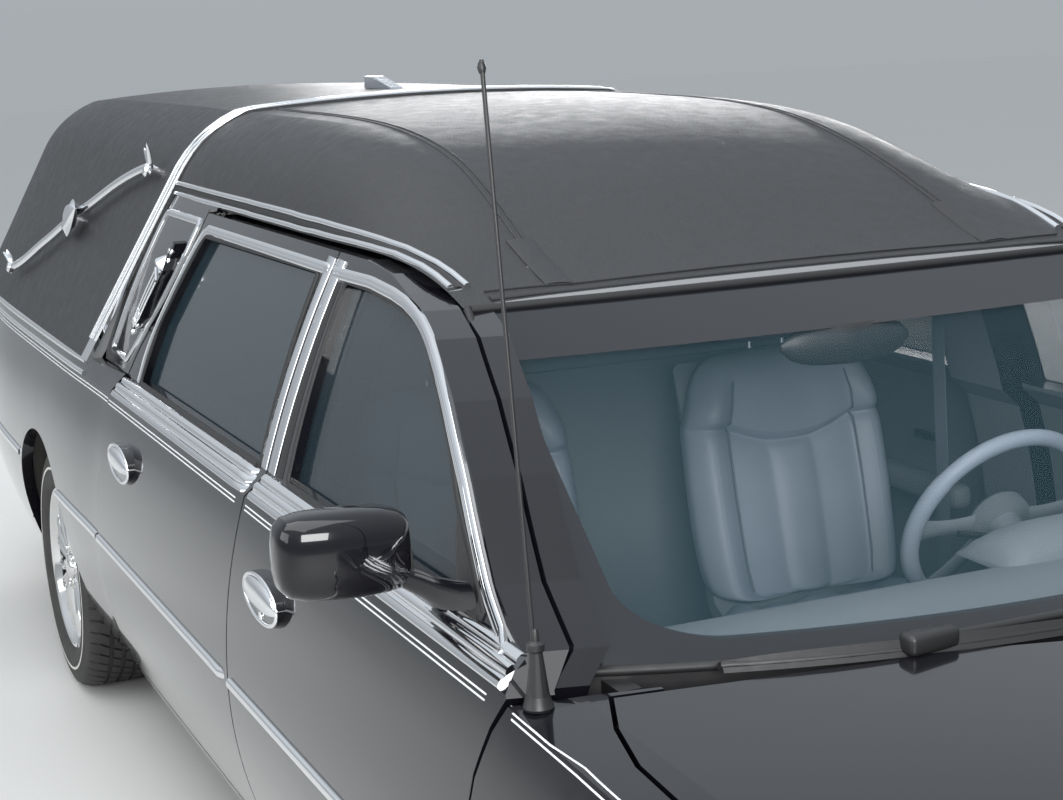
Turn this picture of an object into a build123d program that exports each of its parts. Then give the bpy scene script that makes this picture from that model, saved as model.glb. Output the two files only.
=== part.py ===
from build123d import *
import os
from math import cos, radians, sin, sqrt

# A long funeral car in millimetres: +X forward, +Y to its left, +Z up, ground at Z = 0.
# Overall sizes
LENGTH = 6430
FRONT_END = LENGTH / 2
REAR_END = -LENGTH / 2
FRONT_AXLE = 2185
REAR_AXLE = -1531
TRACK_Y = 790
# Running gap between panels, and the space where one piece rests on another body
GAP = 7
SEAT = 0.3

# Wheels
TYRE_R = 349
TYRE_W = 245
WHEEL_Z = TYRE_R
RIM_R = 232
RIM_W = 208
RIM_SPOKES = 9
PAD_Y = 20
STUD_CIRCLE_R = 57.5
STUD_R = 6
ARCH_R = 410

# Body side section, half widths and heights
WIDE_Y, WIDE_Z = 951, 620
SILL_Y, SILL_Z = WIDE_Y - 83, 270
BELT_Y, SHOULDER_Z = WIDE_Y - 58, 992
GLASS_Y, GLASS_Z = WIDE_Y - 101, 1032
RAIL_Y, RAIL_Z = WIDE_Y - 285, 1480
GLASS_BULGE = 15

# Side openings: door ends and heights
SILL_TOP_Z = 318
DOOR_TOP_Z = 1440
DOOR_FRONT_X = 1716
DOOR_NOSE_X = 1770
B_GAP_X = 548
DOOR_REAR_X = -690
DOOR_WALL = 62
FRAME_WALL = 46
LEAN = 0.28
SHELL_WALL = 34
ROOF_WALL = 30
REAR_WALL = 60
GLASS_T = 6
SEAL_W = 22

# The chrome band leans back over the roof: X = BAND_X + BAND_LEAN * (Z - BAND_Z)
BAND_X, BAND_Z, BAND_LEAN = -965, 1050, 0.35
BAND_WIDTH = 74
BAND_T = 6

# The rows below run from one X to another, at equal steps between the stations given.
# Front body, station 0 at FENDER_X and 1 at NOSE_X. Columns after the station:
# sill in, sill z, widest in, widest z, belt in, belt z, deck in, deck z, top z,
# where each "in" is measured inward from WIDE_Y.
FENDER_X, NOSE_X = 1640, FRONT_END - 85
FRONT_ROWS = [
    (0.00, 83, 270, 0, 620, 58, 985, 151, 992, 1020),
    (0.24, 83, 275, 1, 620, 61, 962, 155, 974, 1000),
    (0.51, 93, 300, 11, 620, 79, 925, 176, 946, 972),
    (0.78, 131, 320, 46, 620, 121, 868, 221, 893, 922),
    (0.91, 171, 330, 96, 610, 176, 815, 276, 842, 876),
    (1.00, 236, 345, 176, 600, 251, 752, 346, 782, 824),
]
# Rear body, station 0 at QUARTER_X and 1 at REAR_END, same columns
QUARTER_X = -640
REAR_ROWS = [
    (0.00, 83, 270, 0, 620, 58, 992, 102, 1040, 1040),
    (0.13, 83, 272, -1, 632, 57, 991, 72, 1040, 1040),
    (0.35, 83, 275, -1, 650, 53, 990, 61, 1040, 1040),
    (0.68, 99, 290, 11, 670, 61, 988, 68, 1040, 1040),
    (0.86, 139, 320, 56, 680, 105, 985, 112, 1040, 1040),
    (0.95, 191, 345, 116, 690, 163, 980, 170, 1040, 1040),
    (1.00, 251, 370, 181, 690, 226, 975, 233, 1040, 1040),
]
# Rear roof, station 0 at QUARTER_X and 1 at LANDAU_END. Columns after the station:
# base in, shoulder in, shoulder z, crown in, crown edge z, crown z
LANDAU_END = REAR_END + 85
LANDAU_BASE_Z = 1040
LANDAU_ROWS = [
    (0.00, 56, 297, 1508, 459, 1650, 1670),
    (0.35, 55, 297, 1508, 459, 1651, 1672),
    (0.71, 65, 306, 1498, 467, 1640, 1662),
    (0.88, 99, 333, 1472, 491, 1606, 1630),
    (0.95, 139, 361, 1430, 515, 1556, 1582),
    (1.00, 182, 395, 1376, 543, 1492, 1518),
]
# Front roof, station 0 at HEADER_X and 1 at ROOF_BACK_X. Columns after the station:
# rail in, rail z, haunch in, haunch z, crown in, crown edge z, crown z
HEADER_X, ROOF_BACK_X = 1046, -1010
ROOF_ROWS = [
    (0.00, 307, 1390, 397, 1395, 521, 1398, 1401),
    (0.09, 289, 1440, 382, 1452, 521, 1458, 1465),
    (0.20, 281, 1453, 368, 1516, 511, 1549, 1557),
    (0.30, 279, 1450, 351, 1547, 499, 1603, 1612),
    (0.41, 278, 1450, 335, 1562, 485, 1634, 1647),
    (0.55, 277, 1451, 330, 1565, 471, 1647, 1666),
    (1.00, 275, 1453, 327, 1563, 459, 1650, 1670),
]

os.makedirs("parts", exist_ok=True)


def save(name, shape):
    shape.label = name
    export_step(shape, "parts/" + name + ".step")


def join(shapes):
    with BuildPart() as out:
        for s in shapes:
            add(s)
    return out.part


def both_apart(shape):
    return [shape, mirror(shape, Plane.XZ)]


def both(shape):
    return join(both_apart(shape))


def less(shape, *cutters):
    with BuildPart() as out:
        add(shape)
        for c in cutters:
            add(c, mode=Mode.SUBTRACT)
    return out.part


def block(x0, x1, y0, y1, z0, z1):
    with BuildPart() as out:
        with Locations(((x0 + x1) / 2, (y0 + y1) / 2, (z0 + z1) / 2)):
            Box(abs(x1 - x0), abs(y1 - y0), abs(z1 - z0))
    return out.part


def rod(start, end, r):
    a, b = Vector(*start), Vector(*end)
    with BuildPart() as out:
        with BuildSketch(Plane(origin=a, z_dir=b - a)):
            Circle(r)
        extrude(amount=(b - a).length)
    return out.part


# A round bar that follows a smooth line through points.
def bent(points, r):
    with BuildPart() as out:
        with BuildLine() as path:
            Spline(*points)
        with BuildSketch(Plane(origin=path.line @ 0, z_dir=path.line % 0)):
            Circle(r)
        sweep(path=path.line)
    return out.part


# Rows at even distances along X, by cubic interpolation through a table of stations.
def evened(table, x0, x1, count=8):
    def slope(i, k):
        a, b = max(i - 1, 0), min(i + 1, len(table) - 1)
        return (table[b][k] - table[a][k]) / (table[b][0] - table[a][0])

    out = []
    for n in range(count):
        s = n / (count - 1)
        i = 0
        while i < len(table) - 2 and s > table[i + 1][0]:
            i += 1
        p, q = table[i], table[i + 1]
        h = q[0] - p[0]
        t = (s - p[0]) / h
        row = [x0 + (x1 - x0) * s]
        for k in range(1, len(p)):
            rise = (3 * t**2 - 2 * t**3) * (q[k] - p[k])
            lead = (t**3 - 2 * t**2 + t) * slope(i, k) * h
            tail = (t**3 - t**2) * slope(i + 1, k) * h
            row.append(p[k] + rise + lead + tail)
        out.append(row)
    return out


def arc_in(rise, run, z):
    r = (run**2 + rise**2) / (2 * rise)
    return r - sqrt(r**2 - z**2)


# Half width of the side skin at a height
def skin_y(z):
    if z < WIDE_Z:
        return WIDE_Y - arc_in(WIDE_Y - SILL_Y, WIDE_Z - SILL_Z, WIDE_Z - z)
    if z < SHOULDER_Z:
        return WIDE_Y - arc_in(WIDE_Y - BELT_Y, SHOULDER_Z - WIDE_Z, z - WIDE_Z)
    if z < GLASS_Z:
        return BELT_Y - (BELT_Y - GLASS_Y) * (z - SHOULDER_Z) / (GLASS_Z - SHOULDER_Z)
    t = (z - GLASS_Z) / (RAIL_Z - GLASS_Z)
    return GLASS_Y - (GLASS_Y - RAIL_Y) * t + 4 * GLASS_BULGE * t * (1 - t)


# A prism over an outline in a plane, grown or shrunk by an offset first.
def prism(plane, points, reach, grow=0, taper=0.0, way=None):
    with BuildPart() as out:
        with BuildSketch(plane):
            with BuildLine():
                Polyline(points, close=True)
            make_face()
            if grow:
                offset(amount=grow, kind=Kind.INTERSECTION)
        if way:
            extrude(amount=reach, dir=way)
        else:
            extrude(amount=reach, taper=taper)
    return out.part


# A prism over an outline in side view. With lean, its walls meet the side skin on the
# outline and run forward with depth, so that a door swings clear of its neighbour.
def side_prism(points, y0=-1200, reach=1200, lean=0.0, grow=0):
    ring = [(x - lean * (-y0 - skin_y(z)), z) for x, z in points] if lean else points
    plane = Plane((0, y0, 0), x_dir=(1, 0, 0), z_dir=(0, -1, 0))
    return prism(plane, ring, reach, grow, way=(lean, 1, 0))


# A prism over an outline in rear view, running forward from x0, narrowing as it goes.
def rear_prism(points, x0, reach, taper=0.0, grow=0):
    plane = Plane((x0, 0, 0), x_dir=(0, 1, 0), z_dir=(1, 0, 0))
    return prism(plane, points, reach, grow, taper)


# A prism over an outline in plan, from z0 to z1.
def plan_prism(points, z0, z1, grow=0):
    return prism(Plane.XY.offset(z0), points, z1 - z0, grow)


# The side wall between two depths from its outer skin, right side.
def side_wall(x0, x1, depth0, depth1, z0=SILL_Z, z1=DOOR_TOP_Z + 12):
    with BuildPart() as out:
        with BuildSketch(Plane.YZ.offset(x0)):
            with BuildLine():
                ends = []
                for d in (depth0, depth1):
                    low, wide = (d - SILL_Y, SILL_Z), (d - WIDE_Y, WIDE_Z)
                    belt, foot = (d - BELT_Y, SHOULDER_Z), (d - GLASS_Y, GLASS_Z)
                    middle_z = (GLASS_Z + RAIL_Z) / 2
                    middle, head = (d - skin_y(middle_z), middle_z), (d - RAIL_Y, RAIL_Z)
                    TangentArc(wide, low, tangent=(0, -1))
                    TangentArc(wide, belt, tangent=(0, 1))
                    Line(belt, foot)
                    ThreePointArc(foot, middle, head)
                    ends.append((low, head))
                Line(ends[0][0], ends[1][0])
                Line(ends[0][1], ends[1][1])
            make_face()
        extrude(amount=x1 - x0)
        add(block(x0 - 50, x1 + 50, -1300, 100, z0, z1), mode=Mode.INTERSECT)
    return out.part


# Lower body solid lofted through rows; inset shrinks it, rise lifts its top open.
def lower_body(table, x0, x1, inset=0, drop=0, rise=0):
    with BuildPart() as out:
        for x, si, sz, wi, wz, bi, bz, di, dz, tz in evened(table, x0, x1):
            sy, wy = WIDE_Y - si - inset, WIDE_Y - wi - inset
            by, dy = WIDE_Y - bi - inset, WIDE_Y - di - inset
            with BuildSketch(Plane.YZ.offset(x)):
                with BuildLine():
                    for s in (-1, 1):
                        low, wide, belt = (s * sy, sz), (s * wy, wz), (s * by, bz)
                        deck = (s * dy, dz + rise if rise else dz - inset)
                        Line((0, sz + drop), (s * sy, sz + drop))
                        if drop:
                            Line((s * sy, sz + drop), low)
                        TangentArc(wide, low, tangent=(0, -1))
                        TangentArc(wide, belt, tangent=(0, 1))
                        Line(belt, deck)
                        if tz - dz < 1:
                            Line(deck, (0, deck[1]))
                    if tz - dz >= 1:
                        ThreePointArc((dy, dz - inset), (0, tz - inset), (-dy, dz - inset))
                make_face()
        loft()
    return out.part


# Rear roof solid: straight leaning sides, round shoulders, slightly crowned top.
def landau_section(x, base, shoulder, sz, crown, cez, cz, inset, base_z):
    k = (shoulder - base) / (sz - LANDAU_BASE_Z)
    foot_y = WIDE_Y - base - inset + k * (LANDAU_BASE_Z - base_z)
    with BuildSketch(Plane.YZ.offset(x)) as out:
        with BuildLine():
            for s in (-1, 1):
                foot = (s * foot_y, base_z)
                knee = (s * (WIDE_Y - shoulder - inset), sz - inset / 2)
                peak = (s * (WIDE_Y - crown - inset / 2), cez - inset)
                Line((0, base_z), foot)
                side = Line(foot, knee)
                TangentArc(knee, peak, tangent=side % 1)
            p = (WIDE_Y - crown - inset / 2, cez - inset)
            ThreePointArc(p, (0, cz - inset), (-p[0], p[1]))
        make_face()
    return out.sketch


def landau_body(x0, x1, inset=0, base_z=LANDAU_BASE_Z):
    with BuildPart() as out:
        for row in evened(LANDAU_ROWS, x0, x1):
            add(landau_section(*row, inset, base_z))
        loft()
    return out.part


# Everything behind the leaning band plane, shifted by a distance along X
def behind_band(shift):
    x0 = BAND_X - BAND_LEAN * (BAND_Z - 900) + shift
    ring = [(x0, 900), (x0 + BAND_LEAN * 1000, 1900), (REAR_END - 900, 1900), (REAR_END - 900, 900)]
    return side_prism(ring, -1300, 2600)


def mirrored(points):
    return points + [(-y, z) for y, z in points[::-1]]


# Side doors. Outlines in side view on the outer skin: x, z
WINDSHIELD_SIDE = [(1726, 1030), (1600, 1088), (1436, 1201), (1288, 1286), (1135, 1358), (1034, 1390)]
FRONT_DOOR = [
    (DOOR_FRONT_X, SILL_TOP_Z),
    (DOOR_FRONT_X, 870),
    (DOOR_FRONT_X + 24, 940),
    (DOOR_NOSE_X, 988),
    *WINDSHIELD_SIDE,
    (950, 1408),
    (840, 1430),
    (700, DOOR_TOP_Z),
    (B_GAP_X, DOOR_TOP_Z),
    (B_GAP_X, SILL_TOP_Z),
]
REAR_EDGE = [(-415, DOOR_TOP_Z), (-438, 1335), (-512, 1218), (-620, 1112), (-676, 1040)]
REAR_DOOR = [
    (B_GAP_X - GAP, SILL_TOP_Z),
    (B_GAP_X - GAP, DOOR_TOP_Z),
    *REAR_EDGE,
    (DOOR_REAR_X - 16, 1000),
    (DOOR_REAR_X - 16, 880),
    (DOOR_REAR_X, 800),
    (DOOR_REAR_X, SILL_TOP_Z),
]
FRONT_GLASS = [
    (652, 1042),
    (642, 1394),
    (768, 1394),
    (935, 1384),
    (1029, 1372),
    (1108, 1346),
    (1221, 1286),
    (1328, 1222),
    (1396, 1166),
    (1500, 1098),
    (1585, 1042),
]
REAR_GLASS = [(-540, 1042), (-496, 1180), (-430, 1282), (-368, 1390), (472, 1396), (472, 1042)]
# Openings in the inner frame behind the doors
FRONT_HOLE = [
    (1640, 366),
    (1640, 950),
    (1575, 1040),
    (1390, 1160),
    (1320, 1214),
    (1215, 1276),
    (1100, 1336),
    (1024, 1362),
    (930, 1374),
    (655, 1384),
    (655, 366),
]
REAR_HOLE = [(470, 366), (470, 1384), (-362, 1380), (-426, 1272), (-490, 1172), (-600, 990), (-600, 366)]
# Handles: centre x, centre z
HANDLES = [(752, 862), (-436, 876)]
HANDLE_LENGTH, HANDLE_HEIGHT = 212, 92

outer_wall = side_wall(-760, 1830, 0, DOOR_WALL)
glass_wall = side_wall(-760, 1830, 20, 20 + GLASS_T, z0=960)
doors, panes = {}, {}
for end, outline, window, handle in (
    ("front", FRONT_DOOR, FRONT_GLASS, HANDLES[0]),
    ("rear", REAR_DOOR, REAR_GLASS, HANDLES[1]),
):
    hx, hz = handle
    with BuildPart() as door:
        add(outer_wall)
        add(side_prism(outline, lean=LEAN), mode=Mode.INTERSECT)
        add(side_prism(window), mode=Mode.SUBTRACT)
        handle_plane = Plane((hx, -skin_y(hz) - 14, hz), x_dir=(1, 0, 0), z_dir=(0, 1, 0))
        with BuildSketch(handle_plane):
            Ellipse(HANDLE_LENGTH / 2, HANDLE_HEIGHT / 2)
        extrude(amount=34)
    with BuildPart() as pane:
        add(glass_wall)
        add(side_prism(window), mode=Mode.INTERSECT)
    doors[end], panes[end] = door.part, pane.part
    for side, d, p in zip(("right", "left"), both_apart(door.part), both_apart(pane.part)):
        save("door_" + end + "_" + side, d)
        save("door_glass_" + end + "_" + side, p)
door_cuts = both_apart(side_prism(FRONT_DOOR, lean=LEAN, grow=GAP))
rear_door_cuts = both_apart(side_prism(REAR_DOOR, lean=LEAN, grow=GAP))

# Windshield: centre x, corner x, corner y, z of its base and its head
GLASS_BASE = (1900, 1732, WIDE_Y - 180, 986)
GLASS_HEAD = (HEADER_X + 12, HEADER_X, WIDE_Y - 311, 1392)
COWL_Z = 930


def glass_section(z, cx, ex, ey, thick=14):
    with BuildSketch(Plane.XY.offset(z)) as out:
        with BuildLine():
            ThreePointArc((ex, -ey), (cx, 0), (ex, ey))
            Line((ex, ey), (ex - thick, ey))
            ThreePointArc((ex - thick, ey), (cx - thick, 0), (ex - thick, -ey))
            Line((ex - thick, -ey), (ex, -ey))
        make_face()
    return out.sketch


with BuildPart() as windshield:
    for cx, ex, ey, z in (GLASS_BASE, GLASS_HEAD):
        add(glass_section(z, cx, ex, ey))
    loft(ruled=True)
save("windshield", windshield.part)

# Roof skin, an open shell with a crowned top
with BuildPart() as roof:
    t = ROOF_WALL
    for x, ri, rz, hi, hz, ci, cez, cz in evened(ROOF_ROWS, HEADER_X, ROOF_BACK_X):
        ry, hy, cy = WIDE_Y - ri, WIDE_Y - hi, WIDE_Y - ci
        with BuildSketch(Plane.YZ.offset(x)):
            with BuildLine():
                ThreePointArc((ry, rz), (hy, hz), (cy, cez))
                ThreePointArc((cy, cez), (0, cz), (-cy, cez))
                ThreePointArc((-cy, cez), (-hy, hz), (-ry, rz))
                Line((-ry, rz), (t - ry, rz))
                ThreePointArc((t - ry, rz), (t * 0.75 - hy, hz - t * 0.7), (6 - cy, cez - t))
                ThreePointArc((6 - cy, cez - t), (0, cz - t), (cy - 6, cez - t))
                ThreePointArc((cy - 6, cez - t), (hy - t * 0.75, hz - t * 0.7), (ry - t, rz))
                Line((ry - t, rz), (ry, rz))
            make_face()
    loft()
    add(behind_band(0), mode=Mode.SUBTRACT)
    add(windshield.part, mode=Mode.SUBTRACT)
save("roof_cap", roof.part)

# The space that the roof skin takes, which trims the frame under it
with BuildPart() as roof_space:
    t = ROOF_WALL
    for x, ri, rz, hi, hz, ci, cez, cz in evened(ROOF_ROWS, HEADER_X, ROOF_BACK_X):
        ry, hy, cy = WIDE_Y - ri, WIDE_Y - hi, WIDE_Y - ci
        with BuildSketch(Plane.YZ.offset(x)):
            with BuildLine():
                Polyline((ry - t, rz), (ry + 90, rz), (ry + 90, 1750), (-ry - 90, 1750), (-ry - 90, rz))
                Line((-ry - 90, rz), (t - ry, rz))
                ThreePointArc((t - ry, rz), (t * 0.75 - hy, hz - t * 0.7), (6 - cy, cez - t))
                ThreePointArc((6 - cy, cez - t), (0, cz - t), (cy - 6, cez - t))
                ThreePointArc((cy - 6, cez - t), (hy - t * 0.75, hz - t * 0.7), (ry - t, rz))
            make_face()
    loft()

# Inner frame behind the doors: sill, pillars, and a seal rim that the shut doors meet
FRAME_DEPTH = DOOR_WALL + GAP
SILL_END_X = 1690
CABIN = [
    (1750, SILL_Z),
    (1750, 990),
    *WINDSHIELD_SIDE[:-1],
    (1040, 1384),
    (950, 1401),
    (859, 1425),
    (710, 1438),
    (710, RAIL_Z),
    (-760, RAIL_Z),
    (-760, SILL_Z),
]
with BuildPart() as frame_side:
    add(side_wall(-760, 1830, FRAME_DEPTH, FRAME_DEPTH + FRAME_WALL, z1=RAIL_Z - 6))
    add(side_prism(CABIN, lean=LEAN), mode=Mode.INTERSECT)
    add(block(-760, -672, -1200, 0, SILL_Z, LANDAU_BASE_Z), mode=Mode.SUBTRACT)
    with BuildPart() as rim:
        add(side_wall(-760, 1830, DOOR_WALL + SEAT, FRAME_DEPTH + 5))
        with BuildPart(mode=Mode.INTERSECT):
            add(side_prism(FRONT_HOLE, grow=SEAL_W))
            add(side_prism(REAR_HOLE, grow=SEAL_W))
    add(rim.part)
    for hole in (FRONT_HOLE, REAR_HOLE):
        add(side_prism(hole), mode=Mode.SUBTRACT)
    add(side_wall(-668, SILL_END_X, 0, FRAME_DEPTH + FRAME_WALL, SILL_Z, SILL_TOP_Z - GAP))
frame = less(both(frame_side.part), roof_space.part, windshield.part)
save("body_side_frame", frame)

# Front shell: hood, fenders and nose are cut from one skin
front_outer = lower_body(FRONT_ROWS, FENDER_X, NOSE_X)
front_inner = lower_body(FRONT_ROWS, FENDER_X - 60, NOSE_X - SHELL_WALL, SHELL_WALL, -60)
HOOD_SIDE = [(1830, -768), (1914, -802), (2016, -824), (2118, -826), (2400, -804), (2700, -760)]
HOOD_NOSE = [(315, -700), (205, -630), (159, -540), (145, -300)]
HOOD_REAR = [(1950, 0), (1938, -200), (1912, -420), (1868, -620)]
half = HOOD_REAR[1:] + HOOD_SIDE + [(FRONT_END - back, y) for back, y in HOOD_NOSE]
hood_ring = half + [(x, -y) for x, y in half[::-1]] + HOOD_REAR[:1]
HOOD_Z = 690
GRILLE = mirrored([(-360, 482), (-395, 735)])
LAMP = [(445, 560), (450, 735), (640, 715), (700, 640), (690, 570)]
lamp_cuts = both_apart(rear_prism(LAMP, NOSE_X - 270, 400))
arch_front = Plane((FRONT_AXLE, 0, WHEEL_Z), z_dir=(0, 1, 0))
arch_rear = Plane((REAR_AXLE, 0, WHEEL_Z), z_dir=(0, 1, 0))
with BuildPart() as front_shell:
    add(less(front_outer, front_inner, *door_cuts))
    with BuildSketch(arch_front):
        Circle(ARCH_R)
    extrude(amount=1300, both=True, mode=Mode.SUBTRACT)
with BuildPart() as hood:
    add(front_shell.part)
    add(plan_prism(hood_ring, HOOD_Z, 1100), mode=Mode.INTERSECT)
save("hood", hood.part)
fenders = less(
    front_shell.part,
    plan_prism(hood_ring, HOOD_Z, 1100, GAP),
    rear_prism(GRILLE, NOSE_X - 130, 300),
    *lamp_cuts,
    block(1600, 1960, -700, 700, HOOD_Z, 1100),
    block(1600, 1722, -832, 832, 880, 1100),
    block(1600, SILL_END_X, -1000, 1000, 200, 330),
    windshield.part,
    frame,
)
save("front_fenders", fenders)

# Bumper bar round the nose: distance back from the front end, half width
BUMPER = [(255, 770), (135, 745), (55, 620), (10, 400), (0, 0)]
bumper_ring = [(FRONT_END - b, y) for b, y in BUMPER] + [(FRONT_END - b, -y) for b, y in BUMPER[-2::-1]]
bumper_ring += [(FRONT_END - 110, -560), (FRONT_END - 75, -300)]
bumper_ring += [(FRONT_END - 75, 300), (FRONT_END - 110, 560)]
with BuildPart() as front_bumper:
    add(plan_prism(bumper_ring, 300, 468))
    add(front_outer, mode=Mode.SUBTRACT)
    with BuildSketch(Plane.YZ.offset(FRONT_END + 20)):
        with Locations((0, 385)):
            RectangleRounded(305, 110, 6)
    extrude(amount=-35, mode=Mode.SUBTRACT)
save("front_bumper", front_bumper.part)

# Grille: a frame with upright and level bars, in the nose opening
with BuildPart() as grille:
    add(rear_prism(GRILLE, NOSE_X - 32, 40, grow=-SEAT))
    add(rear_prism(GRILLE, NOSE_X - 50, 90, grow=-26), mode=Mode.SUBTRACT)
    with BuildSketch(Plane.YZ.offset(NOSE_X - 26)):
        with Locations((0, 608)):
            with GridLocations(55, 0, 13, 1):
                Rectangle(14, 241)
    extrude(amount=26)
    with BuildSketch(Plane.YZ.offset(NOSE_X - 24)):
        with Locations((0, 608)):
            with GridLocations(0, 64, 1, 3):
                Rectangle(720, 10)
    extrude(amount=20)
save("grille", grille.part)

with BuildPart() as headlamp:
    add(front_outer)
    add(rear_prism([(-y, z) for y, z in LAMP], NOSE_X - 150, 300, grow=-SEAT), mode=Mode.INTERSECT)
save("headlamps", both(headlamp.part))

# Rear shell below the landau, closed behind by a wall around the tailgate
rear_outer = lower_body(REAR_ROWS, QUARTER_X, REAR_END)
rear_inner = lower_body(REAR_ROWS, QUARTER_X + 60, REAR_END - 60, SHELL_WALL, -60, 90)
# Rear end in side view: distance ahead of the rear end, z
REAR_SLOPE = [(65, 200), (43, 420), (43, 900), (65, 1000), (175, 1480), (255, 1640), (315, 1800)]


def rear_profile(ahead):
    ring = [(0, 200)] + [(REAR_END + a + ahead, z) for a, z in REAR_SLOPE] + [(0, 1800)]
    return side_prism(ring, -1200, 2400)


profile, profile_in = rear_profile(0), rear_profile(REAR_WALL)
TAILGATE = mirrored([(-600, 500), (-640, 760), (-640, 1010), (-600, 1090), (-470, 1410), (-400, 1470)])
TAIL_TAPER = 10
TAIL_X = REAR_END - 60


def tail_prism(grow=0):
    return rear_prism(TAILGATE, TAIL_X, 340, TAIL_TAPER, grow)


# Rim around the tailgate opening that the shut tailgate meets
with BuildPart() as jamb:
    for near, far in ((-1, GAP - 1), (SEAT, -SEAL_W)):
        with BuildPart() as ring:
            add(less(rear_profile(REAR_WALL + near), rear_profile(REAR_WALL + 20)))
            add(tail_prism(GAP + (16 if near < 0 else 0)), mode=Mode.INTERSECT)
            add(tail_prism(far), mode=Mode.SUBTRACT)
        add(ring.part)
TAIL_LAMP = [(668, 560), (668, 900), (760, 880), (800, 700), (770, 560)]
with BuildPart() as rear_solid:
    add(rear_outer)
    add(profile, mode=Mode.INTERSECT)
with BuildPart() as rear_hollow:
    add(rear_inner)
    add(profile_in, mode=Mode.INTERSECT)
with BuildPart() as quarters:
    add(less(rear_solid.part, rear_hollow.part, tail_prism(GAP)))
    with BuildPart() as low_jamb:
        add(jamb.part)
        add(block(REAR_END, 0, -900, 900, 200, LANDAU_BASE_Z), mode=Mode.INTERSECT)
    add(low_jamb.part)
    for cut in rear_door_cuts + both_apart(rear_prism(TAIL_LAMP, TAIL_X, 150)):
        add(cut, mode=Mode.SUBTRACT)
    with BuildSketch(arch_rear):
        Circle(ARCH_R)
    extrude(amount=1300, both=True, mode=Mode.SUBTRACT)
    add(frame, mode=Mode.SUBTRACT)
save("quarter_panels", quarters.part)
with BuildPart() as landau:
    with BuildPart() as landau_hollow:
        add(landau_body(QUARTER_X + 60, LANDAU_END - 60, ROOF_WALL + 12, LANDAU_BASE_Z - 40))
        add(profile_in, mode=Mode.INTERSECT)
    add(landau_body(QUARTER_X, LANDAU_END - 90))
    add(profile, mode=Mode.INTERSECT)
    add(landau_hollow.part, mode=Mode.SUBTRACT)
    add(tail_prism(GAP), mode=Mode.SUBTRACT)
    add(less(jamb.part, block(REAR_END, 0, -900, 900, 200, LANDAU_BASE_Z)))
    add(behind_band(0), mode=Mode.INTERSECT)
save("landau_roof", landau.part)

PLATE_HOLES_Y, PLATE_HOLES_Z, PLATE_Z = 177.8, 120.65, 700
PLATE_HOLE_R, PLATE_HOLE_DEPTH = 3.5, 25
TAIL_WINDOW = mirrored([(-440, 1110), (-350, 1350)])
with BuildPart() as tailgate:
    add(less(profile, profile_in))
    add(tail_prism(), mode=Mode.INTERSECT)
    add(rear_prism(TAIL_WINDOW, TAIL_X, 400), mode=Mode.SUBTRACT)
    with BuildSketch(Plane.YZ.offset(REAR_END + 15)):
        with Locations((0, PLATE_Z)):
            with GridLocations(PLATE_HOLES_Y, PLATE_HOLES_Z, 2, 2):
                Circle(PLATE_HOLE_R)
    extrude(amount=28 + PLATE_HOLE_DEPTH, mode=Mode.SUBTRACT)
save("tailgate", tailgate.part)
with BuildPart() as tail_pane:
    add(less(rear_profile(24), rear_profile(24 + GLASS_T)))
    add(rear_prism(TAIL_WINDOW, TAIL_X, 400), mode=Mode.INTERSECT)
save("tailgate_glass", tail_pane.part)

# Rear bumper below the tailgate: distance ahead of the rear end, half width
REAR_BUMPER = [(315, 800), (135, 795), (45, 700), (10, 480), (0, 0)]
rear_ring = [(REAR_END + a, y) for a, y in REAR_BUMPER]
rear_ring += [(REAR_END + a, -y) for a, y in REAR_BUMPER[-2::-1]]
rear_ring += [(REAR_END + 115, -600), (REAR_END + 115, 600)]
save("rear_bumper", less(plan_prism(rear_ring, 300, 490), rear_solid.part))

with BuildPart() as tail_lamp:
    add(rear_solid.part)
    add(rear_prism(TAIL_LAMP, TAIL_X, 150 - SEAT, grow=-SEAT), mode=Mode.INTERSECT)
save("tail_lamps", both(tail_lamp.part))

# Chrome band over the roof where the front skin meets the landau
with BuildPart() as band:
    x, *section = evened(LANDAU_ROWS, QUARTER_X, LANDAU_END)[0]
    add(landau_section(x, *section, -BAND_T, LANDAU_BASE_Z))
    extrude(amount=480, dir=(-1, 0, 0))
    with BuildPart(mode=Mode.SUBTRACT):
        add(landau_section(x, *section, 4, LANDAU_BASE_Z))
        extrude(amount=480, dir=(-1, 0, 0))
    add(behind_band(BAND_WIDTH / 2), mode=Mode.INTERSECT)
    add(behind_band(-BAND_WIDTH / 2), mode=Mode.SUBTRACT)
    for skin in (roof.part, landau.part):
        add(skin, mode=Mode.SUBTRACT)
save("roof_band", band.part)

# Fixed side panel between the rear door and the band
with BuildPart() as corner_panel:
    add(side_wall(-1000, -360, 0, DOOR_WALL, LANDAU_BASE_Z, RAIL_Z - 6))
    for cut in (behind_band(0), rear_door_cuts[0], band.part, roof.part, frame):
        add(cut, mode=Mode.SUBTRACT)
save("corner_panels", both(corner_panel.part))

# Cowl panel between windshield and hood, with a lip that carries the glass
COWL = [(1925, 0), (1912, -200), (1888, -400), (1846, -600), (1806, -745), (1676, -745)]
with BuildPart() as cowl:
    add(plan_prism(COWL + [(x, -y) for x, y in COWL[:0:-1]], COWL_Z, COWL_Z + 16))
    add(glass_section(COWL_Z, *GLASS_BASE[:3]))
    extrude(amount=GLASS_BASE[3] - COWL_Z)
    for s in (-1, 1):
        add(block(1740, 1800, s * 712, s * 745, COWL_Z, 980))
save("cowl", less(cowl.part, front_shell.part, frame))

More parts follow.
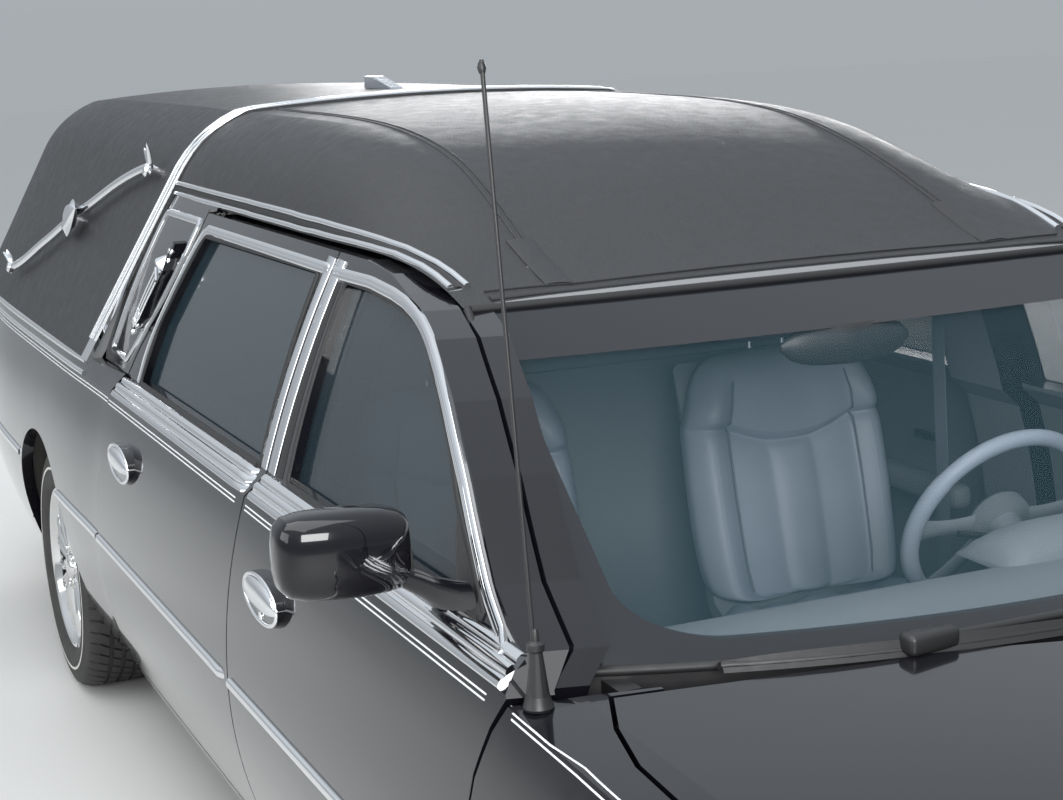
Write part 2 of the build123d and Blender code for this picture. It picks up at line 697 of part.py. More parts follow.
# Floor: cabin pan, firewall, and a raised load floor with wheel houses
FLOOR_Z = 300
LOAD_X = -560
LOAD_Z = 620
FIREWALL_X = 1640
HOUSE_R, HOUSE_IN_Y, HOUSE_OUT_Y = ARCH_R + 6, 618, 915
with BuildPart() as houses:
    add(block(REAR_END + 120, DOOR_REAR_X - 30, -900, 900, LOAD_Z - 55, LOAD_Z - 30))
    add(block(DOOR_REAR_X - 30, LOAD_X, -800, 800, LOAD_Z - 55, LOAD_Z - 30))
    for s in (-1, 1):
        with BuildSketch(Plane((REAR_AXLE, s * HOUSE_IN_Y, WHEEL_Z), z_dir=(0, s, 0))):
            Circle(HOUSE_R + 8)
        extrude(amount=HOUSE_OUT_Y - HOUSE_IN_Y)
        with BuildSketch(Plane((REAR_AXLE, s * (HOUSE_IN_Y + 8), WHEEL_Z), z_dir=(0, s, 0))):
            Circle(HOUSE_R)
        extrude(amount=400, mode=Mode.SUBTRACT)
    add(block(REAR_END, LOAD_X, -950, 950, -HOUSE_R, WHEEL_Z + 60), mode=Mode.SUBTRACT)
with BuildPart() as floor:
    add(block(LOAD_X, FIREWALL_X, -800, 800, FLOOR_Z - 24, FLOOR_Z))
    add(block(FIREWALL_X, FIREWALL_X + 36, -800, 800, FLOOR_Z - 24, COWL_Z))
    add(block(LOAD_X, LOAD_X + 30, -800, 800, FLOOR_Z, LOAD_Z - 30))
    add(houses.part)
    for s in (-1, 1):
        add(block(REAR_END + 120, LOAD_X, s * 390, s * 450, LOAD_Z - 150, LOAD_Z - 55))
    for skin in (frame, quarters.part, fenders):
        add(skin, mode=Mode.SUBTRACT)
save("floor_pan", floor.part)

PIN_HOLE_R, PIN_X0, PIN_X1 = 8, -900, -2700
with BuildPart() as deck:
    add(block(REAR_END + 135, LOAD_X + 40, -520, 520, LOAD_Z - 30, LOAD_Z))
    for s in (-1, 1):
        add(block(REAR_END + 175, LOAD_X, s * 308, s * 352, LOAD_Z, LOAD_Z + 30))
    with Locations((PIN_X0, 0, LOAD_Z), (PIN_X1, 0, LOAD_Z)):
        Cylinder(PIN_HOLE_R, 100, mode=Mode.SUBTRACT)
save("load_deck", less(deck.part, floor.part))

# Steering wheel and its column, set into the dashboard
WHEEL_X, WHEEL_Y, STEER_Z, STEER_TILT = 1120, 370, 905, 25
with BuildPart() as steering_wheel:
    with BuildSketch(Plane.XZ):
        with Locations((185, 0)):
            RegularPolygon(15, 8)
    revolve(axis=Axis.Z)
    with BuildSketch(Plane.XY.offset(-12)):
        Circle(60)
        Rectangle(350, 34)
    extrude(amount=26)
    with BuildSketch(Plane.XY):
        Circle(28)
    extrude(amount=-230)
tilt = (-cos(radians(STEER_TILT)), 0, sin(radians(STEER_TILT)))
wheel = steering_wheel.part.moved(Plane((WHEEL_X, WHEEL_Y, STEER_Z), z_dir=tilt).location)
save("steering_wheel", wheel)
DASH = [(1640, 560), (1640, 905), (1500, 932), (1330, 900), (1270, 840), (1290, 740), (1420, 620)]
save("dashboard", less(side_prism(DASH, -700, 1400), wheel, floor.part, frame))

SEAT_Y = 385
CUSHION = [(420, 430), (405, 540), (450, 575), (880, 605), (955, 585), (968, 520), (940, 430)]
SEAT_BACK = [(360, 520), (300, 640), (205, 1050), (225, 1100)]
SEAT_BACK += [(270, 1112), (370, 1090), (420, 860), (480, 580)]
HEADREST = [(205, 1120), (195, 1220), (225, 1246), (290, 1240), (312, 1190), (306, 1128)]
with BuildPart() as seat:
    add(side_prism(CUSHION, -SEAT_Y - 265, 530))
    add(side_prism(SEAT_BACK, -SEAT_Y - 250, 500))
    add(side_prism(HEADREST, -SEAT_Y - 150, 300))
    add(block(225, 260, -SEAT_Y - 70, -SEAT_Y + 70, 1080, 1150))
    add(block(450, 900, -SEAT_Y - 200, -SEAT_Y + 200, FLOOR_Z, 440))
save("front_seats", both(seat.part))
save("partition", block(60, 90, -640, 640, FLOOR_Z, 1130))

# Coach lamps on the corner panels, leaning with the door edge: head and foot x, z
LAMP_HEAD, LAMP_FOOT = (-512, 1368), (-628, 1160)
LANTERN = [(-6, 0), (-22, 40), (-27, 150), (-30, 170), (-30, 182), (-10, 200), (-5, 238)]
lamp_out = side_wall(-1000, -360, -30, 10, LANDAU_BASE_Z, RAIL_Z - 6)
hx, hz = LAMP_HEAD
fx, fz = LAMP_FOOT
size = sqrt((hx - fx) ** 2 + (hz - fz) ** 2)
ux, uz = (hx - fx) / size, (hz - fz) / size
lantern = [(fx + ux * v + uz * u, fz + uz * v - ux * u) for u, v in LANTERN]
lantern += [(fx + ux * v - uz * u, fz + uz * v + ux * u) for u, v in LANTERN[::-1]]
with BuildPart() as coach_lamp:
    add(lamp_out)
    add(side_prism(lantern), mode=Mode.INTERSECT)
    add(corner_panel.part, mode=Mode.SUBTRACT)
save("coach_lamps", both(coach_lamp.part))

# Landau bars: an S-shaped bar on three studs along each side of the roof: x, z
BAR = [(-1005, 1500), (-1128, 1478), (-1302, 1434), (-1505, 1370), (-1640, 1330), (-1778, 1276)]
BAR += [(-1924, 1224), (-2063, 1172), (-2201, 1140)]
BAR_R, BAR_OUT, MEDAL_R = 13, 26, 42
row = LANDAU_ROWS[0]
slope = (row[2] - row[1]) / (row[3] - LANDAU_BASE_Z)


def on_landau(x, z, out):
    return (x, -(WIDE_Y - row[1] - slope * (z - LANDAU_BASE_Z)) - out, z + out * slope)


bar_points = [on_landau(x, z, BAR_OUT) for x, z in BAR]
with BuildPart() as landau_bar:
    add(bent(bar_points, BAR_R))
    for i in (0, 4, 8):
        x, z = BAR[i]
        add(rod(on_landau(x, z, BAR_OUT), on_landau(x, z, -16), 9))
    add(rod(on_landau(*BAR[4], BAR_OUT + 12), on_landau(*BAR[4], BAR_OUT - 8), MEDAL_R))
save("landau_bars", both(less(landau_bar.part, landau.part, band.part, roof.part)))

# Mast on the right fender and a fin on the roof
MAST_X, MAST_Y = DOOR_NOSE_X + 30, 862
MAST_TOP_X, MAST_TOP_Z = MAST_X - 96, 1806
FIN = [(-1369, 1655), (-1120, 1655), (-1150, 1676), (-1300, 1704), (-1362, 1704)]
with BuildPart() as mast:
    add(rod((MAST_X, -MAST_Y, 1000), (MAST_TOP_X, -MAST_Y, MAST_TOP_Z), 3))
    with Locations((MAST_X, -MAST_Y, 1018)):
        Cone(18, 8, 80)
    add(side_prism(FIN, 32, 36))
save("antennas", less(mast.part, fenders, landau.part))

# Wipers parked along the base of the glass. Columns: post y, y where the arm meets the blade,
# blade ends y
WIPERS = [(60, -330, -610, -30), (620, 330, 60, 600)]
sag = GLASS_BASE[0] - GLASS_BASE[1]
GLASS_R = (GLASS_BASE[2] ** 2 + sag**2) / (2 * sag)


def ahead_of_glass(y, ahead, z):
    return (GLASS_BASE[0] - GLASS_R + sqrt(GLASS_R**2 - y**2) + ahead, y, z)


with BuildPart() as wipers:
    for post, joint, y0, y1 in WIPERS:
        add(bent([ahead_of_glass(y, 34, 1002) for y in (y0, joint, y1)], 6))
        foot, tip = ahead_of_glass(post, 13, 1014), ahead_of_glass(joint, 34, 1012)
        add(rod(foot, tip, 7))
        x, y, _ = foot
        add(block(x - 9, x + 9, y - 9, y + 9, COWL_Z + 16, 1016))
save("wipers", less(wipers.part, windshield.part))

# Door mirrors: a rounded housing on an arm from the door
MIRROR_X, MIRROR_Y, MIRROR_Z = 1385, 985, 1109
with BuildPart() as mirror_right:
    with BuildSketch(Plane.YZ.offset(MIRROR_X - 50)):
        with Locations((-MIRROR_Y, MIRROR_Z)):
            RectangleRounded(204, 138, 46)
    extrude(amount=56)
    with BuildSketch(Plane.YZ.offset(MIRROR_X + 6)):
        with Locations((-MIRROR_Y, MIRROR_Z)):
            RectangleRounded(204, 138, 46)
    extrude(amount=50, taper=26)
    add(rod((1400, -905, 1076), (1505, -836, 1004), 22))
    for cut in (doors["front"], panes["front"]):
        add(cut, mode=Mode.SUBTRACT)
for side, m in zip(("right", "left"), both_apart(mirror_right.part)):
    save("mirror_" + side, m)

# Wheels. Sections of the tyre: radius, distance in from its half width
TYRE = [(RIM_R, 16), (RIM_R + 45, 0), (TYRE_R - 16, 10), (TYRE_R, 38)]
tyre_ring = [(r, TYRE_W / 2 - w) for r, w in TYRE] + [(r, w - TYRE_W / 2) for r, w in TYRE[::-1]]
with BuildPart() as tyre:
    with BuildSketch(Plane.XZ):
        with BuildLine():
            Polyline(tyre_ring, close=True)
        make_face()
    revolve(axis=Axis.Z)
with BuildPart() as rim:
    with BuildSketch(Plane.XZ):
        with BuildLine():
            w = RIM_W / 2
            r = RIM_R - 26
            Polyline((RIM_R, -w), (RIM_R, w), (RIM_R - 10, w), (r, w - 16), (r, -w), close=True)
        make_face()
    revolve(axis=Axis.Z)
    with BuildSketch(Plane.XY.offset(50)):
        with PolarLocations(0, RIM_SPOKES):
            with BuildLine():
                Polyline((40, 24), (RIM_R - 20, 15), (RIM_R - 20, -15), (40, -24), close=True)
            make_face()
    extrude(amount=28)
    with BuildSketch(Plane.XY.offset(PAD_Y)):
        Circle(80)
    extrude(amount=60)
    with BuildSketch(Plane.XY.offset(PAD_Y + 32)):
        with PolarLocations(STUD_CIRCLE_R, 5):
            Circle(STUD_R + 2)
    extrude(amount=60, mode=Mode.SUBTRACT)
for end, x in (("front", FRONT_AXLE), ("rear", REAR_AXLE)):
    for side, s in (("right", -1), ("left", 1)):
        axle = Plane((x, s * TRACK_Y, WHEEL_Z), z_dir=(0, s, 0)).location
        save("tyre_" + end + "_" + side, tyre.part.moved(axle))
        save("rim_" + end + "_" + side, rim.part.moved(axle))

# Steered knuckles: a hub that the rim runs on, and an upright on the lower arm
HUB_Y = TRACK_Y + PAD_Y - SEAT
PIVOT_Y = 740
ARM_Z0, ARM_Z1 = 172, 190
for side, s in (("right", -1), ("left", 1)):
    with BuildPart() as knuckle:
        with BuildSketch(Plane((FRONT_AXLE, s * HUB_Y, WHEEL_Z), z_dir=(0, -s, 0))):
            Circle(62)
        extrude(amount=HUB_Y - PIVOT_Y + 30)
        with BuildSketch(Plane((FRONT_AXLE, s * (HUB_Y - 22), WHEEL_Z), z_dir=(0, -s, 0))):
            Circle(150)
        extrude(amount=22)
        y0, y1 = s * (PIVOT_Y - 28), s * (PIVOT_Y + 20)
        add(block(FRONT_AXLE - 24, FRONT_AXLE + 24, y0, y1, ARM_Z1 + SEAT, 480))
    save("knuckle_" + side, knuckle.part)

# Underbody: rails under the floor, arms to the knuckles, and a support below the hood's nose
RAIL_IN_Y, RAIL_OUT_Y, RAIL_LOW_Z, RAIL_TOP_Z = 365, 435, 236, FLOOR_Z - 24
ENGINE_Z = 300
ARM_MID_Z = (ARM_Z0 + ARM_Z1) / 2
with BuildPart() as support:
    for s in (-1, 1):
        add(block(NOSE_X - 210, NOSE_X - 180, s * 380, s * 420, RAIL_LOW_Z, 1000))
    add(block(NOSE_X - 210, NOSE_X - 180, -420, 420, 760, 1000))
    add(front_inner.moved(Location((0, 0, -SEAT))), mode=Mode.INTERSECT)
with BuildPart() as subframe:
    for s in (-1, 1):
        add(block(1400, NOSE_X - 140, s * RAIL_IN_Y, s * RAIL_OUT_Y, RAIL_LOW_Z, RAIL_TOP_Z))
        for x in (FRONT_AXLE - 160, FRONT_AXLE + 160):
            add(rod((x, s * 400, RAIL_LOW_Z + 16), (FRONT_AXLE, s * PIVOT_Y, ARM_MID_Z), 16))
        with Locations((FRONT_AXLE, s * PIVOT_Y, ARM_MID_Z)):
            Cylinder(34, ARM_Z1 - ARM_Z0)
    add(block(2080, 2290, -RAIL_IN_Y, RAIL_IN_Y, RAIL_LOW_Z, ENGINE_Z))
    add(block(NOSE_X - 230, NOSE_X - 170, -RAIL_IN_Y, RAIL_IN_Y, RAIL_LOW_Z, RAIL_TOP_Z))
    add(support.part)
    for s in (-1, 1):
        add(block(FRONT_AXLE - 60, FRONT_AXLE + 60, s * 698, s * 782, ARM_Z1, 260), mode=Mode.SUBTRACT)
save("front_subframe", less(subframe.part, floor.part))
save("engine_block", block(1900, 2560, -330, 330, ENGINE_Z, 800))

# Rear axle on trailing arms and coil springs below the load floor
BEAM_Y, BEAM_HALF = 420, 30
with BuildPart() as rear_suspension:
    add(rod((REAR_AXLE, -HUB_Y, WHEEL_Z), (REAR_AXLE, HUB_Y, WHEEL_Z), 40))
    for s in (-1, 1):
        low, high = s * (BEAM_Y - BEAM_HALF), s * (BEAM_Y + BEAM_HALF)
        add(rod((REAR_AXLE, s * HUB_Y, WHEEL_Z), (REAR_AXLE, s * (HUB_Y - 50), WHEEL_Z), 62))
        add(block(REAR_AXLE - 40, REAR_AXLE + 440, low, high, 300, 345))
        add(block(REAR_AXLE + 400, REAR_AXLE + 440, low, high, 345, LOAD_Z - 150))
        add(rod((REAR_AXLE, s * BEAM_Y, WHEEL_Z), (REAR_AXLE, s * BEAM_Y, LOAD_Z - 150), 50))
save("rear_suspension", rear_suspension.part)

# Exhaust pipe on hangers, and the fuel tank under the load floor
TANK_X = REAR_END + 565
PIPE = [(1350, 200, 230), (-850, 200, 230), (-1250, BEAM_Y, 230), (REAR_END + 85, BEAM_Y, 250)]
with BuildPart() as exhaust:
    for start, end in zip(PIPE, PIPE[1:]):
        add(rod(start, end, 30))
    for x, y, z in PIPE[1:3]:
        with Locations((x, y, z)):
            Cylinder(30, 60)
    add(block(890, 910, 190, 210, 230, FLOOR_Z - 24))
    add(block(REAR_END + 300, REAR_END + 320, BEAM_Y - 10, BEAM_Y + 10, 240, LOAD_Z - 150))
    add(block(TANK_X, TANK_X + 500, -300, 300, 330, LOAD_Z - 55))
save("exhaust_and_tank", exhaust.part)
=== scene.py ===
import math

import bpy
from mathutils import Matrix, Vector


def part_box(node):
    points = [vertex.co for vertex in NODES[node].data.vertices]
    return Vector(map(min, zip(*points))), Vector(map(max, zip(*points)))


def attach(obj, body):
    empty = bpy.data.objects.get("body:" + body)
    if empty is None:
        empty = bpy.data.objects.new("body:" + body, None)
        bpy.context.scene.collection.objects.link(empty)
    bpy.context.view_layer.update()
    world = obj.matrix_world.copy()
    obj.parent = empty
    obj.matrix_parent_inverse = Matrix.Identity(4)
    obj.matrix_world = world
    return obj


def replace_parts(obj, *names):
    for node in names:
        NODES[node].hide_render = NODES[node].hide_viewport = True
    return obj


bl_info = {
    "name": "Funeral Car",
    "version": (1, 0, 0),
    "blender": (4, 2, 0),
    "location": "3D View > Sidebar > Funeral Car",
    "description": "Dresses the solids of a long funeral car with trim, finishes and a studio",
    "category": "Object",
}

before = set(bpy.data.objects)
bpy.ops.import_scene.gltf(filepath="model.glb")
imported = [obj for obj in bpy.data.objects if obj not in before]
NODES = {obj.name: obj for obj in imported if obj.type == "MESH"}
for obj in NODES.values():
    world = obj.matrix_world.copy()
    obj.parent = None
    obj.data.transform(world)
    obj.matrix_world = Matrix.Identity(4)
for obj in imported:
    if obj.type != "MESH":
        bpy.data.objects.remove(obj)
SIDES = ((-1, "right"), (1, "left"))


def feed(tree, place, value):
    """Links a wire to a socket, or sets the socket's value."""
    if isinstance(value, Wire):
        tree.links.new(value.socket, place)
    else:
        place.default_value = value


# Shader maths on sockets
class Wire:
    """A socket that takes part in Python arithmetic."""

    def __init__(self, tree, socket):
        self.tree = tree
        self.socket = socket

    def maths(self, operation, *values):
        node = self.tree.nodes.new("ShaderNodeMath")
        node.operation = operation
        for place, value in zip(node.inputs, values):
            feed(self.tree, place, value)
        return Wire(self.tree, node.outputs[0])

    def __add__(self, other):
        return self.maths("ADD", self, other)

    __radd__ = __add__

    def __mul__(self, other):
        return self.maths("MULTIPLY", self, other)

    __rmul__ = __mul__

    def __sub__(self, other):
        return self.maths("SUBTRACT", self, other)

    def __rsub__(self, other):
        return self.maths("SUBTRACT", other, self)

    def __truediv__(self, other):
        return self.maths("DIVIDE", self, other)

    def __gt__(self, other):
        return self.maths("GREATER_THAN", self, other)

    def size(self):
        return self.maths("ABSOLUTE", self)

    def larger(self, other):
        return self.maths("MAXIMUM", self, other)

    def sine(self):
        return self.maths("SINE", self)


FINISHES = {}


class Finish:
    """A material kept under a key, whose parts are set by name, with patterns on Object coordinates."""

    def __init__(self, key, name, colour, rough, **more):
        FINISHES[key] = self
        self.material = bpy.data.materials.new(name)
        self.material.use_nodes = True
        self.tree = self.material.node_tree
        self.shader = self.tree.nodes["Principled BSDF"]
        self.put("Base Color", (*colour, 1))
        self.put("Roughness", rough)
        for key, value in more.items():
            self.put(key.replace("_", " ").title().replace("Ior", "IOR"), value)
        self.material.diffuse_color = (*colour, 1)

    def put(self, socket, value):
        feed(self.tree, self.shader.inputs[socket], value)

    def node(self, kind, settings=None, out=0, **values):
        made = self.tree.nodes.new(kind)
        for key, value in (settings or {}).items():
            setattr(made, key, value)
        for key, value in values.items():
            feed(self.tree, made.inputs[key], value)
        return Wire(self.tree, made.outputs[out])

    def place(self):
        return self.node("ShaderNodeTexCoord", out="Object")

    def axes(self):
        split = self.tree.nodes.new("ShaderNodeSeparateXYZ")
        self.tree.links.new(self.place().socket, split.inputs[0])
        return [Wire(self.tree, split.outputs[i]) for i in range(3)]

    def noise(self, scale, detail=4.0):
        return self.node("ShaderNodeTexNoise", Vector=self.place(), Scale=scale, Detail=detail)

    def cells(self, scale):
        return self.node("ShaderNodeTexVoronoi", Vector=self.place(), Scale=scale)

    def ribs(self, scale):
        """Level ribs, as moulded inside a lamp's lens."""
        return (self.axes()[2] * scale).sine() * 0.5 + 0.5

    def bump(self, height, strength, distance):
        self.put("Normal", self.node("ShaderNodeBump", Height=height, Strength=strength, Distance=distance))
        return self

    def grain(self, scale, strength, distance, detail=4.0):
        """A bump of plain noise."""
        return self.bump(self.noise(scale, detail), strength, distance)

    def wear(self, scale, span, low, detail=4.0):
        """Roughness that wanders with noise from low up by span."""
        self.put("Roughness", self.noise(scale, detail) * span + low)
        return self

    def tint(self, factor, low, high):
        """A colour between two, mixed by a factor or by noise of that scale."""
        factor = factor if isinstance(factor, Wire) else self.noise(factor)
        mixed = self.node("ShaderNodeMix", {"data_type": "RGBA"}, out=2)
        node = mixed.socket.node
        self.tree.links.new(factor.socket, node.inputs[0])
        node.inputs[6].default_value = (*low, 1)
        node.inputs[7].default_value = (*high, 1)
        self.put("Base Color", mixed)
        return self



def scaled(colour, by):
    return tuple(c * by for c in colour)


def finish(name):
    return FINISHES[name].material


# Modelling helpers
def clear_selection():
    """Leaves edit mode and selects nothing."""
    if bpy.context.object and bpy.context.object.mode != "OBJECT":
        bpy.ops.object.mode_set(mode="OBJECT")
    bpy.ops.object.select_all(action="DESELECT")


def settle(name, look, body, smooth=35):
    """Names the new object, puts its place in its mesh, and gives it a finish and a body."""
    piece = bpy.context.object
    piece.name = name
    bpy.ops.object.transform_apply(location=True, rotation=True, scale=True)
    piece.data.materials.clear()
    piece.data.materials.append(finish(look))
    if smooth:
        bpy.ops.object.shade_smooth_by_angle(angle=math.radians(smooth))
    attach(piece, body)
    return piece


def block(name, look, body, size, place, turn=(0, 0, 0), round_by=0.0, segments=2):
    """A box whose edges may be rounded."""
    clear_selection()
    bpy.ops.mesh.primitive_cube_add(size=1, location=place, rotation=turn, scale=size)
    bpy.ops.object.transform_apply(location=False, rotation=False, scale=True)
    if round_by:
        bpy.ops.object.mode_set(mode="EDIT")
        bpy.ops.mesh.select_all(action="SELECT")
        bpy.ops.mesh.bevel(offset=round_by, segments=segments, affect="EDGES")
        bpy.ops.object.mode_set(mode="OBJECT")
    return settle(name, look, body)


def disc(name, look, body, radius, depth, place, axis, sides=32, round_by=0.0, inner=None):
    """A short cylinder along an axis; its front face may be inset and pushed in or out."""
    clear_selection()
    turn = Vector(axis).to_track_quat("Z", "Y").to_euler()
    bpy.ops.mesh.primitive_cylinder_add(vertices=sides, radius=radius, depth=depth, location=place, rotation=turn)
    bpy.ops.object.mode_set(mode="EDIT")
    if inner:
        thickness, push = inner
        bpy.ops.mesh.select_mode(type="FACE")
        bpy.ops.mesh.select_all(action="DESELECT")
        bpy.ops.object.mode_set(mode="OBJECT")
        for face in bpy.context.object.data.polygons:
            face.select = face.normal.z > 0.9
        bpy.ops.object.mode_set(mode="EDIT")
        bpy.ops.mesh.inset(thickness=thickness, depth=push)
    bpy.ops.object.mode_set(mode="OBJECT")
    if round_by:
        modifier(bpy.context.object, "BEVEL", width=round_by, segments=2, limit_method="ANGLE", angle_limit=0.6)
    return settle(name, look, body)


def polyline(points, closed):
    """A new curve of straight runs through points."""
    clear_selection()
    bpy.ops.curve.primitive_nurbs_path_add()
    path = bpy.context.object
    path.data.splines.clear()
    spline = path.data.splines.new("POLY")
    spline.points.add(len(points) - 1)
    for point, place in zip(spline.points, points):
        point.co = (*place, 1)
    spline.use_cyclic_u = closed
    return path


def line(name, look, body, points, radius):
    """A round strip that follows points."""
    path = polyline(points, False)
    path.data.bevel_depth = radius
    path.data.bevel_resolution = 3
    path.data.use_fill_caps = True
    bpy.ops.object.convert(target="MESH")
    return settle(name, look, body, 50)


def patch(name, look, body, outline, thick, bevel):
    """A gently bent sheet over an outline of points, thickened both ways, with soft edges."""
    polyline(outline, True)
    bpy.ops.object.convert(target="MESH")
    bpy.ops.object.mode_set(mode="EDIT")
    bpy.ops.mesh.select_all(action="SELECT")
    bpy.ops.mesh.edge_face_add()
    bpy.ops.object.mode_set(mode="OBJECT")
    piece = bpy.context.object
    modifier(piece, "SOLIDIFY", thickness=thick, offset=0)
    modifier(piece, "BEVEL", width=bevel, segments=2)
    return settle(name, look, body)


def modifier(piece, kind, **settings):
    """Adds a modifier and applies it."""
    made = piece.modifiers.new(kind.title(), kind)
    for key, value in settings.items():
        setattr(made, key, value)
    bpy.context.view_layer.objects.active = piece
    bpy.ops.object.modifier_apply(modifier=made.name)


def merged(pieces, name):
    """Joins like pieces of one body and one finish into one object."""
    clear_selection()
    for piece in pieces:
        piece.select_set(True)
    bpy.context.view_layer.objects.active = pieces[0]
    bpy.ops.object.join()
    bpy.context.object.name = name
    return bpy.context.object


def rounded(points, passes=2, closed=True):
    """Corner cutting: each pass replaces every corner by two points."""
    for _ in range(passes):
        out = []
        count = len(points)
        pairs = range(count if closed else count - 1)
        for i in pairs:
            a, b = Vector(points[i]), Vector(points[(i + 1) % count])
            out += [a.lerp(b, 0.25), a.lerp(b, 0.75)]
        if not closed:
            out = [Vector(points[0])] + out + [Vector(points[-1])]
        points = out
    return points


def first_hit(start, way, nodes, needed=True):
    """Where a ray first meets one of these CAD nodes: the spot and its normal."""
    way = Vector(way)
    best = None
    for name in nodes:
        hit, spot, normal, _ = NODES[name].ray_cast(start, way)
        if hit and (best is None or spot.dot(way) < best[0].dot(way)):
            best = (spot, normal)
    if needed and best is None:
        raise RuntimeError(f"a ray from {tuple(start)} misses {nodes}")
    return best


# Places from which rays are cast, well outside the car on each side
BESIDE, ABOVE, AHEAD = 1.6, 2.2, 4.2


def skin(x, z, side, nodes):
    """The outermost point of these CAD nodes at x and z on one side."""
    return first_hit((x, side * BESIDE, z), (0, -side, 0), nodes)[0]


def roof_point(x, y, nodes):
    """The highest point of these CAD nodes at x and y."""
    return first_hit((x, y, ABOVE), (0, 0, -1), nodes)[0]


def nose_point(y, z, nodes):
    """The foremost point of these CAD nodes at y and z, in millimetres, and its normal."""
    return first_hit((AHEAD, y / 1000, z / 1000), (-1, 0, 0), nodes)


def tail_point(y, z, nodes):
    """The rearmost point of these CAD nodes at y and z, in millimetres, and its normal."""
    return first_hit((-AHEAD, y / 1000, z / 1000), (1, 0, 0), nodes)


def steps(start, end, count):
    """Even steps from start to end, both included."""
    return [start + (end - start) * i / (count - 1) for i in range(count)]


def circle(count):
    """Angles at even steps, once round."""
    return [2 * math.pi * i / count for i in range(count)]


def squared(angle, power):
    """The point of a unit circle at an angle, pushed out toward a square's corners."""
    c, s = math.cos(angle), math.sin(angle)
    reach = (abs(c) ** power + abs(s) ** power) ** (-1 / power)
    return c * reach, s * reach


def metres(points):
    """Millimetre points as vectors in metres."""
    return [Vector(point) / 1000 for point in points]


def loft(name, look, body, sections, smooth=35, ring=False):
    """A closed skin through sections of equally many points; ring joins the last to the first."""
    if ring:
        sections = [*sections, sections[0]]
    around, along = len(sections[0]), len(sections)
    clear_selection()
    bpy.ops.mesh.primitive_grid_add(x_subdivisions=around, y_subdivisions=along - 1)
    corners = bpy.context.object.data.vertices
    for i, section in enumerate(sections):
        for j in range(around + 1):
            corners[i * (around + 1) + j].co = section[j % around]
    bpy.ops.object.mode_set(mode="EDIT")
    bpy.ops.mesh.select_all(action="SELECT")
    bpy.ops.mesh.remove_doubles(threshold=0.00002)
    if not ring:
        bpy.ops.mesh.fill_holes(sides=0)
    bpy.ops.mesh.select_all(action="SELECT")
    bpy.ops.mesh.normals_make_consistent(inside=False)
    bpy.ops.object.mode_set(mode="OBJECT")
    return settle(name, look, body, smooth)


def lathe(name, look, body, profile, place, axis, around=32, smooth=35, ring=False):
    """Turns a table of radius and height, in millimetres, about an axis."""
    turn = Vector(axis).to_track_quat("Z", "Y")
    place = Vector(place)
    sections = [
        [place + turn @ Vector((radius * math.cos(a), radius * math.sin(a), height)) / 1000 for a in circle(around)]
        for radius, height in profile
    ]
    return loft(name, look, body, sections, smooth, ring)


def strip(name, look, body, spots, profile, closed=False, smooth=40):
    """Carries a profile of (across, out) in millimetres along spots, each a point and a normal."""
    sections = []
    count = len(spots)
    for i, (point, normal) in enumerate(spots):
        before = spots[i - 1][0] if i or closed else point
        after = spots[(i + 1) % count][0] if i + 1 < count or closed else point
        way = (after - before).normalized()
        across = way.cross(normal).normalized()
        out = across.cross(way)
        sections.append([point + across * u / 1000 + out * v / 1000 for u, v in profile])
    return loft(name, look, body, sections, smooth, closed)


def half_round(width, height, sink=1.5):
    """A molding's profile, flat below and crowned above."""
    half = width / 2
    bow = [(0.98, 0.35), (0.8, 0.72), (0.45, 0.94), (0, 1)]
    right = [(half * u, height * v) for u, v in bow]
    left = [(-u, v) for u, v in right[-2::-1]]
    return [(half, -sink), *right, *left, (-half, -sink)]


def grow(outline, amount):
    """Moves a flat outline of (x, z) outward by an amount."""
    area = sum(a[0] * b[1] - b[0] * a[1] for a, b in zip(outline, outline[1:] + outline[:1]))
    turn = 1 if area > 0 else -1
    out = []
    for i, (x, z) in enumerate(outline):
        x0, z0 = outline[i - 1]
        x1, z1 = outline[(i + 1) % len(outline)]
        first = Vector((z - z0, x0 - x)).normalized()
        second = Vector((z1 - z, x - x1)).normalized()
        way = (first + second).normalized()
        reach = turn * amount / max(0.5, way.dot(first))
        out.append((x + way.x * reach, z + way.y * reach))
    return out


def dense(points, gap=40):
    """Adds points to a flat line so that none are further apart than the gap."""
    out = []
    for (x0, z0), (x1, z1) in zip(points, points[1:]):
        count = max(1, math.ceil(math.hypot(x1 - x0, z1 - z0) / gap))
        out += [(x0 + (x1 - x0) * i / count, z0 + (z1 - z0) * i / count) for i in range(count)]
    return [*out, points[-1]]


def looped(outline, gap):
    """A closed outline with points added so that none are further apart than the gap."""
    return dense([*outline, outline[0]], gap)[:-1]


def softened(points, passes=2, closed=False):
    """Rounds the corners of a flat line of (x, z)."""
    made = rounded([(x, z, 0) for x, z in points], passes, closed)
    return [(spot[0], spot[1]) for spot in made]


WALL_SLOPE = 0.411  # the walls with the side glass lean in by this much per unit of height


def side_spots(outline, side, nodes, out=0.0):
    """Points of the car's side at each (x, z), in millimetres, all with the wall's normal."""
    normal = Vector((0, side, WALL_SLOPE)).normalized()
    return [(skin(x / 1000, z / 1000, side, nodes) + normal * out, normal) for x, z in outline]


def side_line(points, side, nodes, gap=60):
    """Spots along a line of (x, z) on the car's side, each with its own normal."""
    spots = []
    for x, z in dense(points, gap):
        here = skin(x / 1000, z / 1000, side, nodes)
        above = skin(x / 1000, (z + 3) / 1000, side, nodes)
        below = skin(x / 1000, (z - 3) / 1000, side, nodes)
        rise = above - below
        normal = Vector((0, side * rise.z, -side * rise.y)).normalized()
        spots.append((here, normal))
    return spots


